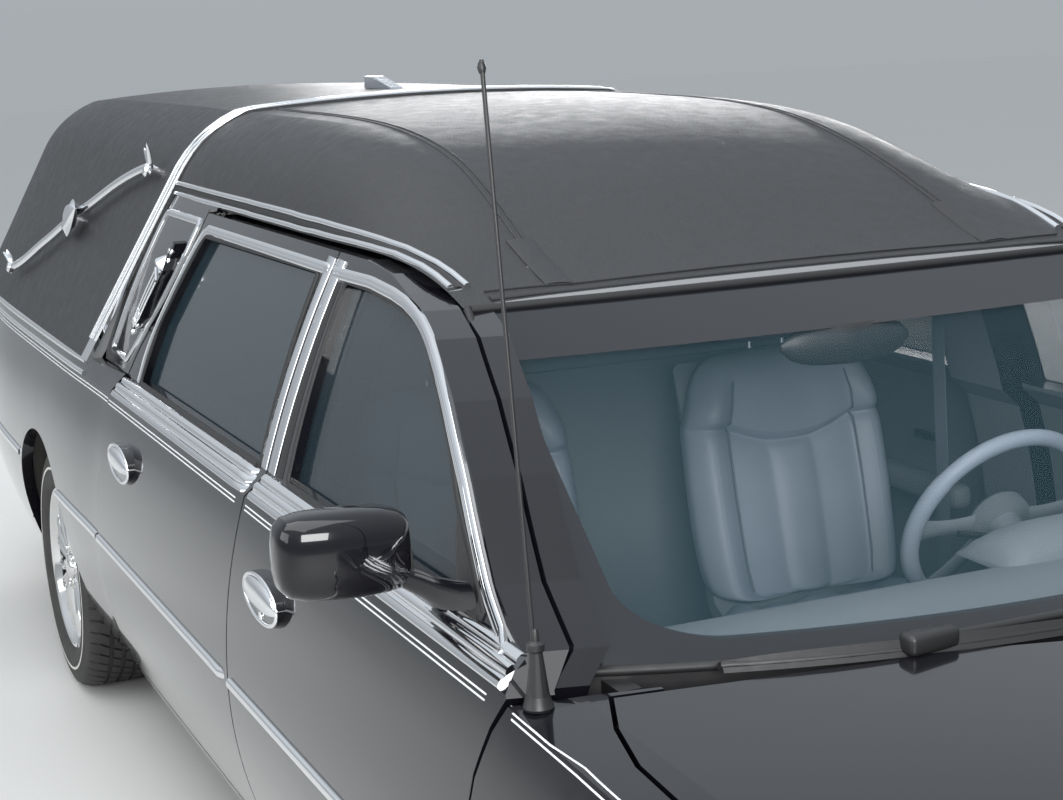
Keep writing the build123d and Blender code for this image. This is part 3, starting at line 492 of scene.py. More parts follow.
def roof_spots(places, nodes):
    """Spots on top of the roof at each (x, y), in millimetres."""
    spots = []
    for x, y in places:
        here = roof_point(x / 1000, y / 1000, nodes)
        across = roof_point(x / 1000, (y + 8) / 1000, nodes) - roof_point(x / 1000, (y - 8) / 1000, nodes)
        spots.append((here, Vector((0, -across.z, across.y)).normalized()))
    return spots


def shown_by(node, test, look):
    """Gives the faces of a CAD node that pass the test a second finish."""
    piece = NODES[node]
    piece.data.materials.append(finish(look))
    place = len(piece.data.materials) - 1
    for face in piece.data.polygons:
        if test(face.center, face.normal):
            face.material_index = place


def dress(look, *names):
    """Gives whole CAD nodes a finish."""
    for name in names:
        piece = NODES[name]
        piece.data.materials.clear()
        piece.data.materials.append(finish(look))


def pair(name):
    """The names of a node's right and left copies."""
    return [f"{name}_{label}" for _, label in SIDES]


def four(name):
    """The names of a node's front and rear copies on both sides."""
    return [*pair(f"{name}_front"), *pair(f"{name}_rear")]


# The windshield at its foot and its head: x at its middle, x at its corner, half width, z
GLASS_LOW = (1.9, 1.732, 0.771, 0.986)
GLASS_HIGH = (1.058, 1.046, 0.64, 1.392)


# What a user would change
class CarFinishes(bpy.types.PropertyGroup):
    paint: bpy.props.FloatVectorProperty(
        name="Paint", description="Body paint colour", subtype="COLOR", size=3, default=(0.004, 0.004, 0.006)
    )
    vinyl: bpy.props.FloatVectorProperty(
        name="Roof covering", description="Colour of the grained roof", subtype="COLOR", size=3,
        default=(0.014, 0.0145, 0.0165),
    )
    leather: bpy.props.FloatVectorProperty(
        name="Seats", description="Seat leather colour", subtype="COLOR", size=3, default=(0.3, 0.345, 0.41)
    )
    trim: bpy.props.FloatVectorProperty(
        name="Cabin trim", description="Colour of the dash and door trim", subtype="COLOR", size=3,
        default=(0.16, 0.18, 0.2),
    )
    glass: bpy.props.FloatVectorProperty(
        name="Glass", description="Tint of the windows", subtype="COLOR", size=3, default=(0.02, 0.035, 0.045)
    )
    tint: bpy.props.FloatProperty(
        name="Glass tint", description="How much of the view through the rear windows is blocked",
        subtype="FACTOR", default=0.82, min=0.05, max=1,
    )


class CarTrim(bpy.types.PropertyGroup):
    reveal: bpy.props.FloatProperty(
        name="Window reveal", description="Width of the bright strip round the windows", unit="LENGTH",
        default=0.022, min=0.01, max=0.03,
    )
    molding: bpy.props.FloatProperty(
        name="Side molding", description="Height of the bright strip along the sides", unit="LENGTH",
        default=0.021, min=0.01, max=0.04,
    )
    stripe: bpy.props.FloatProperty(
        name="Coach line", description="Width of each fine line along the sides", unit="LENGTH",
        default=0.003, min=0.001, max=0.01,
    )
    tread: bpy.props.FloatProperty(
        name="Tread depth", description="Depth of the grooves in the tyres", unit="LENGTH",
        default=0.007, min=0.002, max=0.012,
    )


class Studio(bpy.types.PropertyGroup):
    floor: bpy.props.FloatVectorProperty(
        name="Floor", description="Floor colour", subtype="COLOR", size=3, default=(0.62, 0.62, 0.61)
    )
    key_power: bpy.props.FloatProperty(
        name="Key lamp", description="Power of the large lamp over the car", unit="POWER",
        default=300, min=0, max=5000,
    )
    side_power: bpy.props.FloatProperty(
        name="Side lamp", description="Power of the lamp beside the car", unit="POWER",
        default=160, min=0, max=5000,
    )
    lens: bpy.props.FloatProperty(
        name="Lens", description="Focal length of the camera", unit="CAMERA", default=66.2, min=20, max=200
    )


class CAR_OT_finishes(bpy.types.Operator):
    """Makes every finish that the car wears"""

    bl_idname = "car.finishes"
    bl_label = "Finishes"

    def execute(self, context):
        chosen = context.scene.car_finishes
        FINISHES.clear()

        # Outside: paint, roof covering, bright metal
        paint = Finish(
            "paint", "Gloss Paint", tuple(chosen.paint), 0.18,
            specular_ior_level=0.1, coat_weight=1.0, coat_roughness=0.015, coat_ior=1.42,
        )
        paint.wear(1.4, 0.06, 0.14, 3).grain(90, 0.012, 0.002, 2)
        Finish("stripe", "Coach Line", (0.72, 0.73, 0.74), 0.35, coat_weight=0.6).wear(60, 0.1, 0.3)
        vinyl = Finish("vinyl", "Grained Roof", tuple(chosen.vinyl), 0.5, specular_ior_level=0.55)
        cells, creases, broad = vinyl.cells(420), vinyl.noise(26, 6), vinyl.noise(2.6, 3)
        light = tuple(min(1, c * 1.7) for c in chosen.vinyl)
        # Darker in the grain's hollows and lighter on its raised parts: painted shade, partly a tone that wanders
        # at random
        vinyl.tint(creases * 0.5 + broad * 0.5, scaled(chosen.vinyl, 0.75), light)
        vinyl.put("Roughness", creases * 0.3 + broad * 0.12 + 0.26)
        vinyl.bump(cells * 0.5 + creases * 1.6 + broad * 1.5, 0.5, 0.004)
        Finish("seam", "Seam Vinyl", scaled(chosen.vinyl, 0.8), 0.45).grain(500, 0.4, 0.001)
        Finish("chrome", "Bright Metal", (0.84, 0.85, 0.87), 0.05, metallic=1.0).wear(35, 0.05, 0.03)
        Finish("brushed", "Brushed Metal", (0.6, 0.61, 0.62), 0.28, metallic=1.0).wear(120, 0.2, 0.18)
        silver = Finish("silver", "Silver Paint", (0.34, 0.37, 0.42), 0.25, metallic=0.5, coat_weight=0.8)
        silver.grain(300, 0.02, 0.001)
        wheel = Finish("wheel", "Plated Wheel", (0.82, 0.83, 0.85), 0.06, metallic=1.0)
        wheel.wear(22, 0.1, 0.04).tint(9, (0.84, 0.85, 0.87), (0.68, 0.67, 0.64))

        # Rubber, plastic and what is under the car
        Finish("rubber", "Black Rubber", (0.012, 0.012, 0.013), 0.55).wear(80, 0.2, 0.45).grain(350, 0.1, 0.001)
        tyre = Finish("tyre", "Tyre Rubber", (0.02, 0.02, 0.021), 0.75)
        tyre.tint(14, (0.013, 0.013, 0.014), (0.045, 0.043, 0.04)).wear(50, 0.25, 0.6).grain(260, 0.25, 0.0015)
        white = Finish("white rubber", "White Rubber", (0.62, 0.61, 0.58), 0.6)
        white.tint(30, (0.68, 0.67, 0.64), (0.5, 0.48, 0.44))
        Finish("plastic", "Satin Plastic", (0.014, 0.014, 0.015), 0.42).wear(60, 0.15, 0.35).grain(600, 0.2, 0.0006)
        under = Finish("under", "Underbody Coat", (0.018, 0.018, 0.018), 0.7)
        under.tint(8, (0.012, 0.012, 0.012), (0.05, 0.045, 0.04)).grain(60, 0.5, 0.003)
        cast = Finish("cast", "Cast Metal", (0.2, 0.2, 0.21), 0.55, metallic=0.8)
        cast.tint(18, (0.14, 0.14, 0.145), (0.26, 0.25, 0.23)).grain(220, 0.5, 0.0015)
        pipe = Finish("pipe", "Exhaust Metal", (0.42, 0.4, 0.37), 0.38, metallic=0.9)
        pipe.tint(6, (0.45, 0.44, 0.42), (0.24, 0.18, 0.13))

        # Cabin and load space
        leather = Finish("leather", "Cabin Leather", tuple(chosen.leather), 0.45, specular_ior_level=0.4)
        folds = leather.noise(7, 5)
        # Darker in the folds' hollows and lighter on their raised parts: partly the leather's own tone, partly
        # painted shade in the folds
        leather.tint(folds, scaled(chosen.leather, 0.82), scaled(chosen.leather, 1.1))
        leather.put("Roughness", folds * 0.2 + 0.34)
        leather.bump(leather.cells(480) * 0.6 + folds * 1.2, 0.25, 0.0018)
        Finish("stitch", "Cabin Thread", scaled(chosen.leather, 0.55), 0.7).grain(700, 0.5, 0.0008)
        trim = Finish("trim", "Cabin Trim", tuple(chosen.trim), 0.62)
        trim.tint(5, scaled(chosen.trim, 0.9), scaled(chosen.trim, 1.08)).bump(trim.cells(650), 0.25, 0.0008)
        Finish("lining", "Roof Lining", (0.3, 0.31, 0.32), 0.9, sheen_weight=0.3).grain(900, 0.3, 0.0008)
        carpet = Finish("carpet", "Carpet", (0.07, 0.072, 0.078), 0.95, sheen_weight=0.4)
        carpet.tint(140, (0.045, 0.046, 0.05), (0.11, 0.11, 0.115)).grain(700, 0.9, 0.003, 2)
        wood = Finish("wood", "Deck Board", (0.2, 0.1, 0.05), 0.3, coat_weight=0.5)
        board = wood.node("ShaderNodeMapping", Vector=wood.place(), Scale=(1.2, 16, 16))
        fibre = wood.node("ShaderNodeTexNoise", Vector=board, Scale=4.0, Detail=6.0)
        wood.tint(fibre, (0.11, 0.05, 0.024), (0.3, 0.16, 0.075))

        # Lenses, glass and plates
        Finish("clear", "Clear Lens", (0.75, 0.78, 0.8), 0.04, alpha=0.22, ior=1.9).wear(40, 0.05, 0.02)
        red = Finish("red", "Red Lens", (0.3, 0.004, 0.006), 0.12, coat_weight=1.0, alpha=0.96)
        red.tint(red.ribs(420), (0.34, 0.004, 0.006), (0.16, 0.002, 0.004))
        amber = Finish("amber", "Amber Lens", (0.7, 0.2, 0.01), 0.12, coat_weight=1.0)
        amber.tint(amber.ribs(420), (0.75, 0.22, 0.01), (0.45, 0.11, 0.005))
        Finish("pane", "Side Glass", tuple(chosen.glass), 0.02, alpha=0.6, ior=2.0).wear(3, 0.02, 0.01)
        Finish("dark pane", "Dark Glass", tuple(chosen.glass), 0.02, alpha=chosen.tint, ior=2.0).wear(3, 0.02, 0.01)
        screen = Finish("screen", "Windshield Glass", (0.04, 0.1, 0.13), 0.02, ior=1.5)
        # The printed border: dark beside and below a round-cornered pane, and shaded above it
        _, y, z = screen.axes()
        along = (z - GLASS_LOW[3]) / (GLASS_HIGH[3] - GLASS_LOW[3])
        half = GLASS_LOW[2] - along * (GLASS_LOW[2] - GLASS_HIGH[2])
        corner, pane_foot, shade_foot, slant = 0.13, 1.012, 1.318, 2.36
        beside = (y.size() - (half - 0.085 + along * 0.05 - corner)).larger(0)
        below = ((z - pane_foot) * -slant + corner).larger(0)
        border = (beside * beside + below * below > corner * corner).larger(z > shade_foot)
        screen.put("Alpha", border * 0.91 + 0.09)
        screen.tint(border, (0.05, 0.13, 0.17), (0.008, 0.009, 0.012))
        screen.put("Roughness", border * 0.12 + 0.02)
        Finish("reflector", "Lamp Mirror", (0.88, 0.89, 0.9), 0.12, metallic=1.0).wear(60, 0.08, 0.08)
        Finish("plate", "Bare Plate", (0.7, 0.71, 0.72), 0.35, metallic=0.3).wear(40, 0.2, 0.3)
        return {"FINISHED"}


class CAR_OT_body(bpy.types.Operator):
    """Gives the body panels, roof, glass and underbody their finishes"""

    bl_idname = "car.body"
    bl_label = "Body"

    def execute(self, context):
        dress("paint", "hood", "front_fenders", "front_bumper", "quarter_panels", "rear_bumper", "tailgate")
        dress("paint", "corner_panels", "body_side_frame", *four("door"), *pair("mirror"))
        dress("vinyl", "roof_cap", "landau_roof")
        dress("chrome", "roof_band", "landau_bars", "grille")
        dress("screen", "windshield")
        dress("pane", *pair("door_glass_front"))
        dress("dark pane", "tailgate_glass", *pair("door_glass_rear"))
        dress("clear", "headlamps")
        dress("red", "tail_lamps")
        dress("plastic", "cowl", "antennas", "wipers", "steering_wheel")
        dress("trim", "dashboard", "partition")
        dress("leather", "front_seats")
        dress("wood", "load_deck")
        dress("under", "floor_pan", "front_subframe", "rear_suspension")
        dress("cast", "engine_block", *pair("knuckle"))
        dress("pipe", "exhaust_and_tank")
        dress("tyre", *four("tyre"))
        dress("wheel", *four("rim"))

        def faces_cabin(spot, way):
            return way.y * spot.y < -0.3 * abs(spot.y)

        for name in ("roof_cap", "landau_roof"):
            shown_by(name, lambda spot, way: way.z < -0.05 or way.y * spot.y < -0.02 or way.x > 0.9, "lining")
        for name in (*four("door"), "body_side_frame", "quarter_panels"):
            shown_by(name, faces_cabin, "trim")
        shown_by("floor_pan", lambda spot, way: way.z > 0.7, "carpet")
        shown_by("tailgate", lambda spot, way: way.x > 0.6, "trim")
        fin_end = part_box("antennas")[0][0] + 0.4
        shown_by("antennas", lambda spot, way: spot.x < fin_end, "silver")
        return {"FINISHED"}


# The band over the roof leans forward by BAND_LEAN per unit of height from its foot
BAND_FOOT, BAND_FOOT_Z, BAND_LEAN = -0.965, 1.05, 0.35
BAND_CENTRE_Z = 1.2
BAND_REACH = 97  # degrees from the top to the foot, seen from the band's centre


def band_spots(shift, nodes):
    """Spots across the roof in the leaning plane of the band, shifted in x, from side to side."""
    centre = Vector((BAND_FOOT + BAND_LEAN * (BAND_CENTRE_Z - BAND_FOOT_Z) + shift, 0, BAND_CENTRE_Z))
    spots = []
    for angle in steps(-BAND_REACH, BAND_REACH, 65):
        turn = math.radians(angle)
        way = Vector((BAND_LEAN * math.cos(turn), math.sin(turn), math.cos(turn)))
        found = first_hit(centre + way * BESIDE, -way.normalized(), nodes, needed=False)
        if found:
            spots.append(found)
    return spots


def roof_edge(x, side):
    """The roof skin's lower edge at x, where it stands out the furthest."""
    best = None
    for z in steps(1.37, 1.47, 101):
        found = first_hit((x, side * BESIDE, z), (0, -side, 0), ["roof_cap"], needed=False)
        if found and (best is None or found[0].y * side > best.y * side + 0.0002):
            best = found[0]
    if best is None:
        raise RuntimeError(f"the roof has no edge at x {x:.3f}")
    return best


def roof_side(x, side, rise):
    """A spot on the roof skin, rise up the slope from its lower edge at x."""
    aim = roof_edge(x, side) + Vector((0, -side * 0.6, 0.8)) * rise
    out = Vector((0, side * 0.7, 0.7))
    spot, normal = first_hit(aim + out * 0.3, -out.normalized(), ["roof_cap"])
    return spot, Vector((0, normal.y, normal.z)).normalized()


class CAR_OT_roof_trim(bpy.types.Operator):
    """Adds the roof's bright rails, stitched seams, windshield hem and the beads of the band"""

    bl_idname = "car.roof_trim"
    bl_label = "Roof trim"

    # Front and back ends of the rails, in metres, and of the seams and the lap over them
    RAIL_ENDS, SEAM_ENDS, LAP_ENDS = (0.985, -0.775), (835, -760), (1004, 838)
    # Rise from the roof's lower edge, finish, width and height
    RAILS = ((7, "chrome", 13, 8), (18, "rubber", 12, 3), (29, "chrome", 13, 8))

    def execute(self, context):
        for side, label in SIDES:
            rails = []
            for rise, look, width, height in self.RAILS:
                spots = [roof_side(x, side, rise / 1000) for x in steps(*self.RAIL_ENDS, 34)]
                rails.append(strip(f"roof_rail_{rise}_{label}", look, "body", spots, half_round(width, height)))
            merged([rails[0], rails[2]], f"roof_rails_{label}")
            rails[1].name = f"roof_rail_filler_{label}"

            seams = []
            for y in (418, 432):
                places = [(x, side * (y + max(0, x - 500) * 0.06)) for x in steps(*self.SEAM_ENDS, 36)]
                spots = roof_spots(places, ["roof_cap"])
                seams.append(strip(f"roof_seam_{y}_{label}", "vinyl", "body", spots, half_round(5, 2.2)))
            # A lap of the covering over the front end of both seams
            spots = roof_spots([(x, side * 449) for x in steps(*self.LAP_ENDS, 12)], ["roof_cap"])
            seams.append(strip(f"roof_lap_{label}", "vinyl", "body", spots, half_round(54, 4)))
            merged(seams, f"roof_seam_{label}")

        hem = []
        for x, width in ((1032, 16), (1008, 3)):
            places = [(x, y) for y in steps(-590, 590, 33)]
            spots = [(spot, Vector((0.2, 0, 1)).normalized()) for spot, _ in roof_spots(places, ["roof_cap"])]
            hem.append(strip(f"roof_hem_{x}", "seam", "body", spots, half_round(width, 3)))
        merged(hem, "roof_hem")

        # Along the band: two bright beads on it, and two dark welts beside it
        for kind, look, shift, nodes, profile in (
            ("bead", "chrome", 31, ["roof_band"], half_round(11, 6)),
            ("welt", "rubber", 42, ["roof_cap", "landau_roof", "corner_panels"], half_round(7, 4)),
        ):
            strips = []
            for x in (-shift, shift):
                spots = band_spots(x / 1000, nodes)
                strips.append(strip(f"band_{kind}_{x}", look, "body", spots, profile))
            merged(strips, f"band_{kind}s")
        return {"FINISHED"}


# Lines of the window surrounds and panes in side view, in millimetres: x, z
FRONT_REVEAL = [
    (560, 1405), (640, 1406), (767, 1408), (890, 1402), (960, 1395), (1020, 1384), (1070, 1371), (1120, 1353),
    (1190, 1320), (1266, 1279), (1414, 1190), (1585, 1073), (1690, 1018),
]
REAR_REVEAL = [(544, 1407), (-366, 1407), (-398, 1372), (-461, 1261), (-512, 1173), (-539, 1108), (-555, 1040)]
FRONT_PANE = [
    (652, 1042), (642, 1394), (768, 1394), (935, 1384), (1029, 1372), (1108, 1346), (1221, 1286), (1328, 1222),
    (1396, 1166), (1500, 1098), (1585, 1042),
]
REAR_PANE = [(-540, 1042), (-496, 1180), (-430, 1282), (-368, 1390), (472, 1396), (472, 1042)]
# Profile of the belt molding, in millimetres: across, out
BELT = [
    (-29, -2), (-29, 4), (-25, 7), (-17, 8), (-13, 5), (-10, 5), (-6, 9), (0, 10.5), (6, 9), (10, 5), (13, 5),
    (17, 8), (25, 7), (29, 4), (29, -2),
]
BELT_Z = 1.012


class CAR_OT_window_trim(bpy.types.Operator):
    """Adds the bright reveals, pillar strips, belt moldings and rubber seals of the side windows"""

    bl_idname = "car.window_trim"
    bl_label = "Window trim"

    def execute(self, context):
        width = context.scene.car_trim.reveal * 1000
        grooved = [(-width / 2, -2), (-width / 2, 4), (-width / 3, 7), (-width / 8, 7), (-width / 12, 4.5)]
        grooved += [(-u, v) for u, v in grooved[::-1]]
        for side, label in SIDES:
            for end, reveal, pane, pillar, belt_ends in (
                ("front", FRONT_REVEAL, FRONT_PANE, (557, 600, 34), (1742, 535)),
                ("rear", REAR_REVEAL, REAR_PANE, (502, 472, 14), (526, -680)),
            ):
                body = f"door_{end}_{label}"
                door, glazed = [body], [body, f"door_glass_{end}_{label}"]
                tag = f"{end}_{label}"
                way = dense(softened(dense(reveal, 60), 1), 30)
                bright = [strip(f"reveal_{tag}", "chrome", body, side_spots(way, side, door), grooved)]
                seal = softened(looped(grow(pane, 4), 40), 1, True)
                seal = side_spots(seal, side, glazed)
                strip(f"window_seal_{tag}", "rubber", body, seal, half_round(13, 3.5), True)

                # The pillar's bright strip leans by 0.06, and the rubber beside it stands upright
                outer_x, inner_x, gap = pillar
                upright = side_spots([(outer_x + (z - 1030) * 0.06, z) for z in steps(1040, 1428, 12)], side, door)
                flat = [(21, -2), (21, 3), (19, 4.5), (0, 5.5), (-19, 4.5), (-21, 3), (-21, -2)]
                bright.append(strip(f"pillar_{tag}", "chrome", body, upright, flat))
                dark = side_spots([(inner_x, z) for z in steps(1040, 1392, 12)], side, glazed)
                strip(f"pillar_rubber_{tag}", "rubber", body, dark, half_round(gap, 3))

                # The belt molding is carried up and out, and a rubber lies along the glass over it
                slant = Vector((0, side, 1)).normalized()
                belt = [(skin(x / 1000, BELT_Z, side, door), slant) for x in steps(*belt_ends, 24)]
                bright.append(strip(f"belt_{tag}", "chrome", body, belt, BELT))
                merged(bright, f"window_brightwork_{tag}")
                sill = [(x, 1037) for x in steps(pane[-1][0] - 12, pane[0][0] + 12, 20)]
                strip(f"belt_rubber_{tag}", "rubber", body, side_spots(sill, side, glazed), half_round(10, 6))
        return {"FINISHED"}


# The lower coach line where it follows the fender's shoulder: x, z
FENDER_LINE = [
    (1790, 967), (1860, 963), (1980, 956), (2100, 947), (2220, 937), (2340, 925), (2460, 911), (2620, 888),
    (2780, 860), (2880, 836),
]


class CAR_OT_side_trim(bpy.types.Operator):
    """Adds the side moldings, coach lines and the moldings under the landau roof"""

    bl_idname = "car.side_trim"
    bl_label = "Side trim"

    # Heights of the bright molding along the sides, and of the two under the landau roof with their widths
    MOLDING_Z = 640
    LANDAU_MOLDINGS = ((1030, 20), (996, 14))

    def execute(self, context):
        trim = context.scene.car_trim
        molding = half_round(trim.molding * 1000, 9)
        fine = half_round(trim.stripe * 1000, 0.8, 0.4)
        for side, label in SIDES:
            # Body, CAD nodes, ends of each molding, and the lower coach line
            runs = [
                ("body", ["front_fenders"], [(1726, 1886), (2486, 2930)], FENDER_LINE),
                (f"door_front_{label}", [f"door_front_{label}"], [(530, 1712)], [(528, 971), (1766, 968)]),
                (f"door_rear_{label}", [f"door_rear_{label}"], [(-688, 513)], [(-696, 971), (513, 971)]),
                ("body", ["quarter_panels"], [(-1232, -706), (-3020, -1834)], [(-3020, 971), (-714, 971)]),
            ]
            for i, (body, nodes, moldings, lines) in enumerate(runs):
                bright = []
                for x0, x1 in moldings:
                    spots = side_line([(x0, self.MOLDING_Z), (x1, self.MOLDING_Z)], side, nodes)
                    bright.append(strip(f"side_molding_{x0}_{i}_{label}", "chrome", body, spots, molding))
                merged(bright, f"side_molding_{i}_{label}")
                stripes = []
                for rise in (0, 8):
                    spots = side_line([(x, z + rise) for x, z in lines], side, nodes)
                    stripes.append(strip(f"coach_line_{rise}_{i}_{label}", "stripe", body, spots, fine))
                merged(stripes, f"coach_lines_{i}_{label}")
            low = []
            for z, height in self.LANDAU_MOLDINGS:
                spots = side_line([(-1016, z), (-3060, z)], side, ["quarter_panels", "landau_roof"])
                low.append(strip(f"landau_molding_{z}_{label}", "chrome", "body", spots, half_round(height, 7)))
            merged(low, f"landau_moldings_{label}")
        return {"FINISHED"}


def leaf(name, body, base, way, out, length, width, thick):
    """A pointed leaf with a raised rib, in bright metal."""
    way, out = Vector(way).normalized(), Vector(out).normalized()
    across = way.cross(out).normalized()
    sections = []
    for t in steps(0, 1, 15):
        wide = width / 2 * max(0.02, math.sin(math.pi * t ** 0.75)) ** 0.8
        high = thick * max(0.05, math.sin(math.pi * t) ** 0.5)
        bow = Vector(base) + way * (length * t) + out * (0.35 * length * (t - 0.3) ** 2)
        ring = [(1, 0), (0.55, 0.35), (0.3, 0.2), (0, 1), (-0.3, 0.2), (-0.55, 0.35), (-1, 0), (0, -0.4)]
        sections.append([bow + across * wide * u + out * high * v for u, v in ring])
    return loft(name, "chrome", body, sections, 40)


class CAR_OT_landau_bars(bpy.types.Operator):
    """Adds leaf ends and a bare medallion to the landau bars"""

    bl_idname = "car.landau_bars"
    bl_label = "Landau bars"

    # Each end of a bar: x, z, and the way that its middle leaf points
    ENDS = ((-1.005, 1.506, (0.55, 0, 0.85)), (-2.192, 1.153, (-0.75, 0, 0.4)))
    LEAVES = ((0, 0.085), (38, 0.058), (-38, 0.058))  # turn in degrees, length
    MEDALLION_X, MEDALLION_Z = -1.62, 1.343

    def execute(self, context):
        for side, label in SIDES:
            out = Vector((0, side, 0.25)).normalized()
            parts = []
            for x, z, way in self.ENDS:
                here = skin(x, z, side, ["landau_bars"])
                for turn, length in self.LEAVES:
                    tip = Matrix.Rotation(math.radians(turn), 3, "Y") @ Vector(way)
                    parts.append(leaf(
                        f"leaf_{len(parts)}_{label}", "body", here - out * 0.012, tip, out, length, 0.034, 0.009
                    ))
                parts.append(lathe(
                    f"bar_knob_{len(parts)}_{label}", "chrome", "body",
                    [(0, -16), (13, -14), (17, -6), (17, 0), (12, 6), (0, 8)], here, out, 24,
                ))
            here = skin(self.MEDALLION_X, self.MEDALLION_Z, side, ["landau_bars"])
            along = Vector((1, 0, 0.34)).normalized()
            across = along.cross(out).normalized()
            sections = []
            for t in steps(-1, 1, 17):
                wide = 0.046 * max(0.03, 1 - abs(t) ** 2.2)
                high = 0.017 * max(0.05, 1 - t * t) ** 0.5
                ring = []
                for angle in circle(20):
                    rib = 1 + 0.12 * math.cos(6 * angle)
                    ring.append(
                        here + along * 0.105 * t + across * wide * rib * math.cos(angle)
                        + out * high * rib * math.sin(angle)
                    )
                sections.append(ring)
            parts.append(loft(f"medallion_{label}", "chrome", "body", sections, 40))
            merged(parts, f"landau_bar_ornament_{label}")
        return {"FINISHED"}


# The coach lamps' foot and head, and the edge of the panel round them, in millimetres: x, z
LAMP_FOOT, LAMP_HEAD = (-628, 1160), (-512, 1368)
CORNER = [(-888, 1074), (-716, 1070), (-652, 1124), (-541, 1233), (-468, 1345), (-448, 1418), (-766, 1418)]


class CAR_OT_coach_lamps(bpy.types.Operator):
    """Adds the frames, caps and finials of the coach lamps and the bright frame round them"""

    bl_idname = "car.coach_lamps"
    bl_label = "Coach lamps"

    # Heights above the lantern's foot and its half widths there, in millimetres
    LANTERN = ((8, 6), (40, 21), (95, 24), (150, 26))

    def execute(self, context):
        dress("paint", "coach_lamps")
        foot, head = Vector(LAMP_FOOT), Vector(LAMP_HEAD)
        way = (head - foot).normalized()
        for side, label in SIDES:
            wall = Vector((0, side, WALL_SLOPE)).normalized()

            def spot(across, along, lift):
                x = foot.x + way.x * along + way.y * across
                z = foot.y + way.y * along - way.x * across
                return skin(x / 1000, z / 1000, side, ["coach_lamps", "corner_panels"]) + wall * lift

            parts = []
            for edge in (-0.86, 0, 0.86):
                points = [spot(edge * wide, along, 0.001) for along, wide in self.LANTERN]
                parts.append(line(f"lamp_rib_{edge}_{label}", "chrome", "body", points, 0.0032))
            for along, wide, radius in ((150, 26, 0.004), (172, 29, 0.005), (42, 20, 0.0035)):
                points = [spot(u, along, 0.001) for u in steps(-wide, wide, 7)]
                parts.append(line(f"lamp_hoop_{along}_{label}", "chrome", "body", points, radius))
            lean = Vector((way.x, 0, way.y)) + Vector((0, -side * 0.38, 0)) * way.y
            cap = [(0, -22), (26, -20), (27, -14), (17, -2), (8, 8), (6, 14), (9, 20), (9, 26), (4, 33), (0, 42)]
            parts.append(lathe(f"lamp_cap_{label}", "chrome", "body", cap, spot(0, 196, -0.008), lean, 24))
            base = [(0, -34), (4, -28), (7, -20), (4, -12), (9, -4), (15, 6), (15, 12), (0, 16)]
            parts.append(lathe(f"lamp_foot_{label}", "chrome", "body", base, spot(0, 12, -0.006), lean, 24))
            merged(parts, f"coach_lamp_brightwork_{label}")
            edge = side_spots(softened(looped(CORNER, 36), 1, True), side, ["corner_panels"])
            flat = [(-9, -2), (-9, 3), (-5, 6), (0, 7), (5, 6), (9, 3), (9, -2)]
            strip(f"corner_frame_{label}", "chrome", "body", edge, flat, True)
        return {"FINISHED"}


class CAR_OT_handles(bpy.types.Operator):
    """Adds a bright oval handle rim and lever to each side door, and a lock to each front door"""

    bl_idname = "car.handles"
    bl_label = "Door handles"

    # Middle of each handle, and half width and height of its oval boss and of its lever
    PLACES = (("front", 0.752, 0.862), ("rear", -0.436, 0.876))
    BOSS, LEVER = (101.5, 41.5), (97, 27)

    def execute(self, context):
        for side, label in SIDES:
            for end, x, z in self.PLACES:
                body = f"door_{end}_{label}"
                middle = skin(x, z, side, [body])
                out = Vector((0, side, 0))

                def spot(u, v, lift):
                    return middle + Vector((u, side * lift, v)) / 1000

                wide, high = self.BOSS
                rim = [(spot(wide * math.cos(a), high * math.sin(a), 0), out) for a in circle(48)]
                parts = [strip(f"handle_rim_{end}_{label}", "chrome", body, rim, half_round(8, 4), True)]
                sections = []
                wide, high = self.LEVER
                for t in steps(-1, 1, 21):
                    size = max(0.05, 1 - abs(t) ** 2.4) ** 0.5
                    sections.append([
                        spot(t * wide, (8 + high * math.cos(a)) * size, 1 + 13 * size * math.sin(a))
                        for a in circle(16)
                    ])
                parts.append(loft(f"handle_lever_{end}_{label}", "chrome", body, sections))
                merged(parts, f"door_handle_{end}_{label}")
                if end == "front":
                    lock = spot(0, -30, 1)
                    disc(f"door_lock_{label}", "chrome", body, 0.008, 0.005, lock, out, 24, 0.0008, (0.002, -0.001))
        return {"FINISHED"}


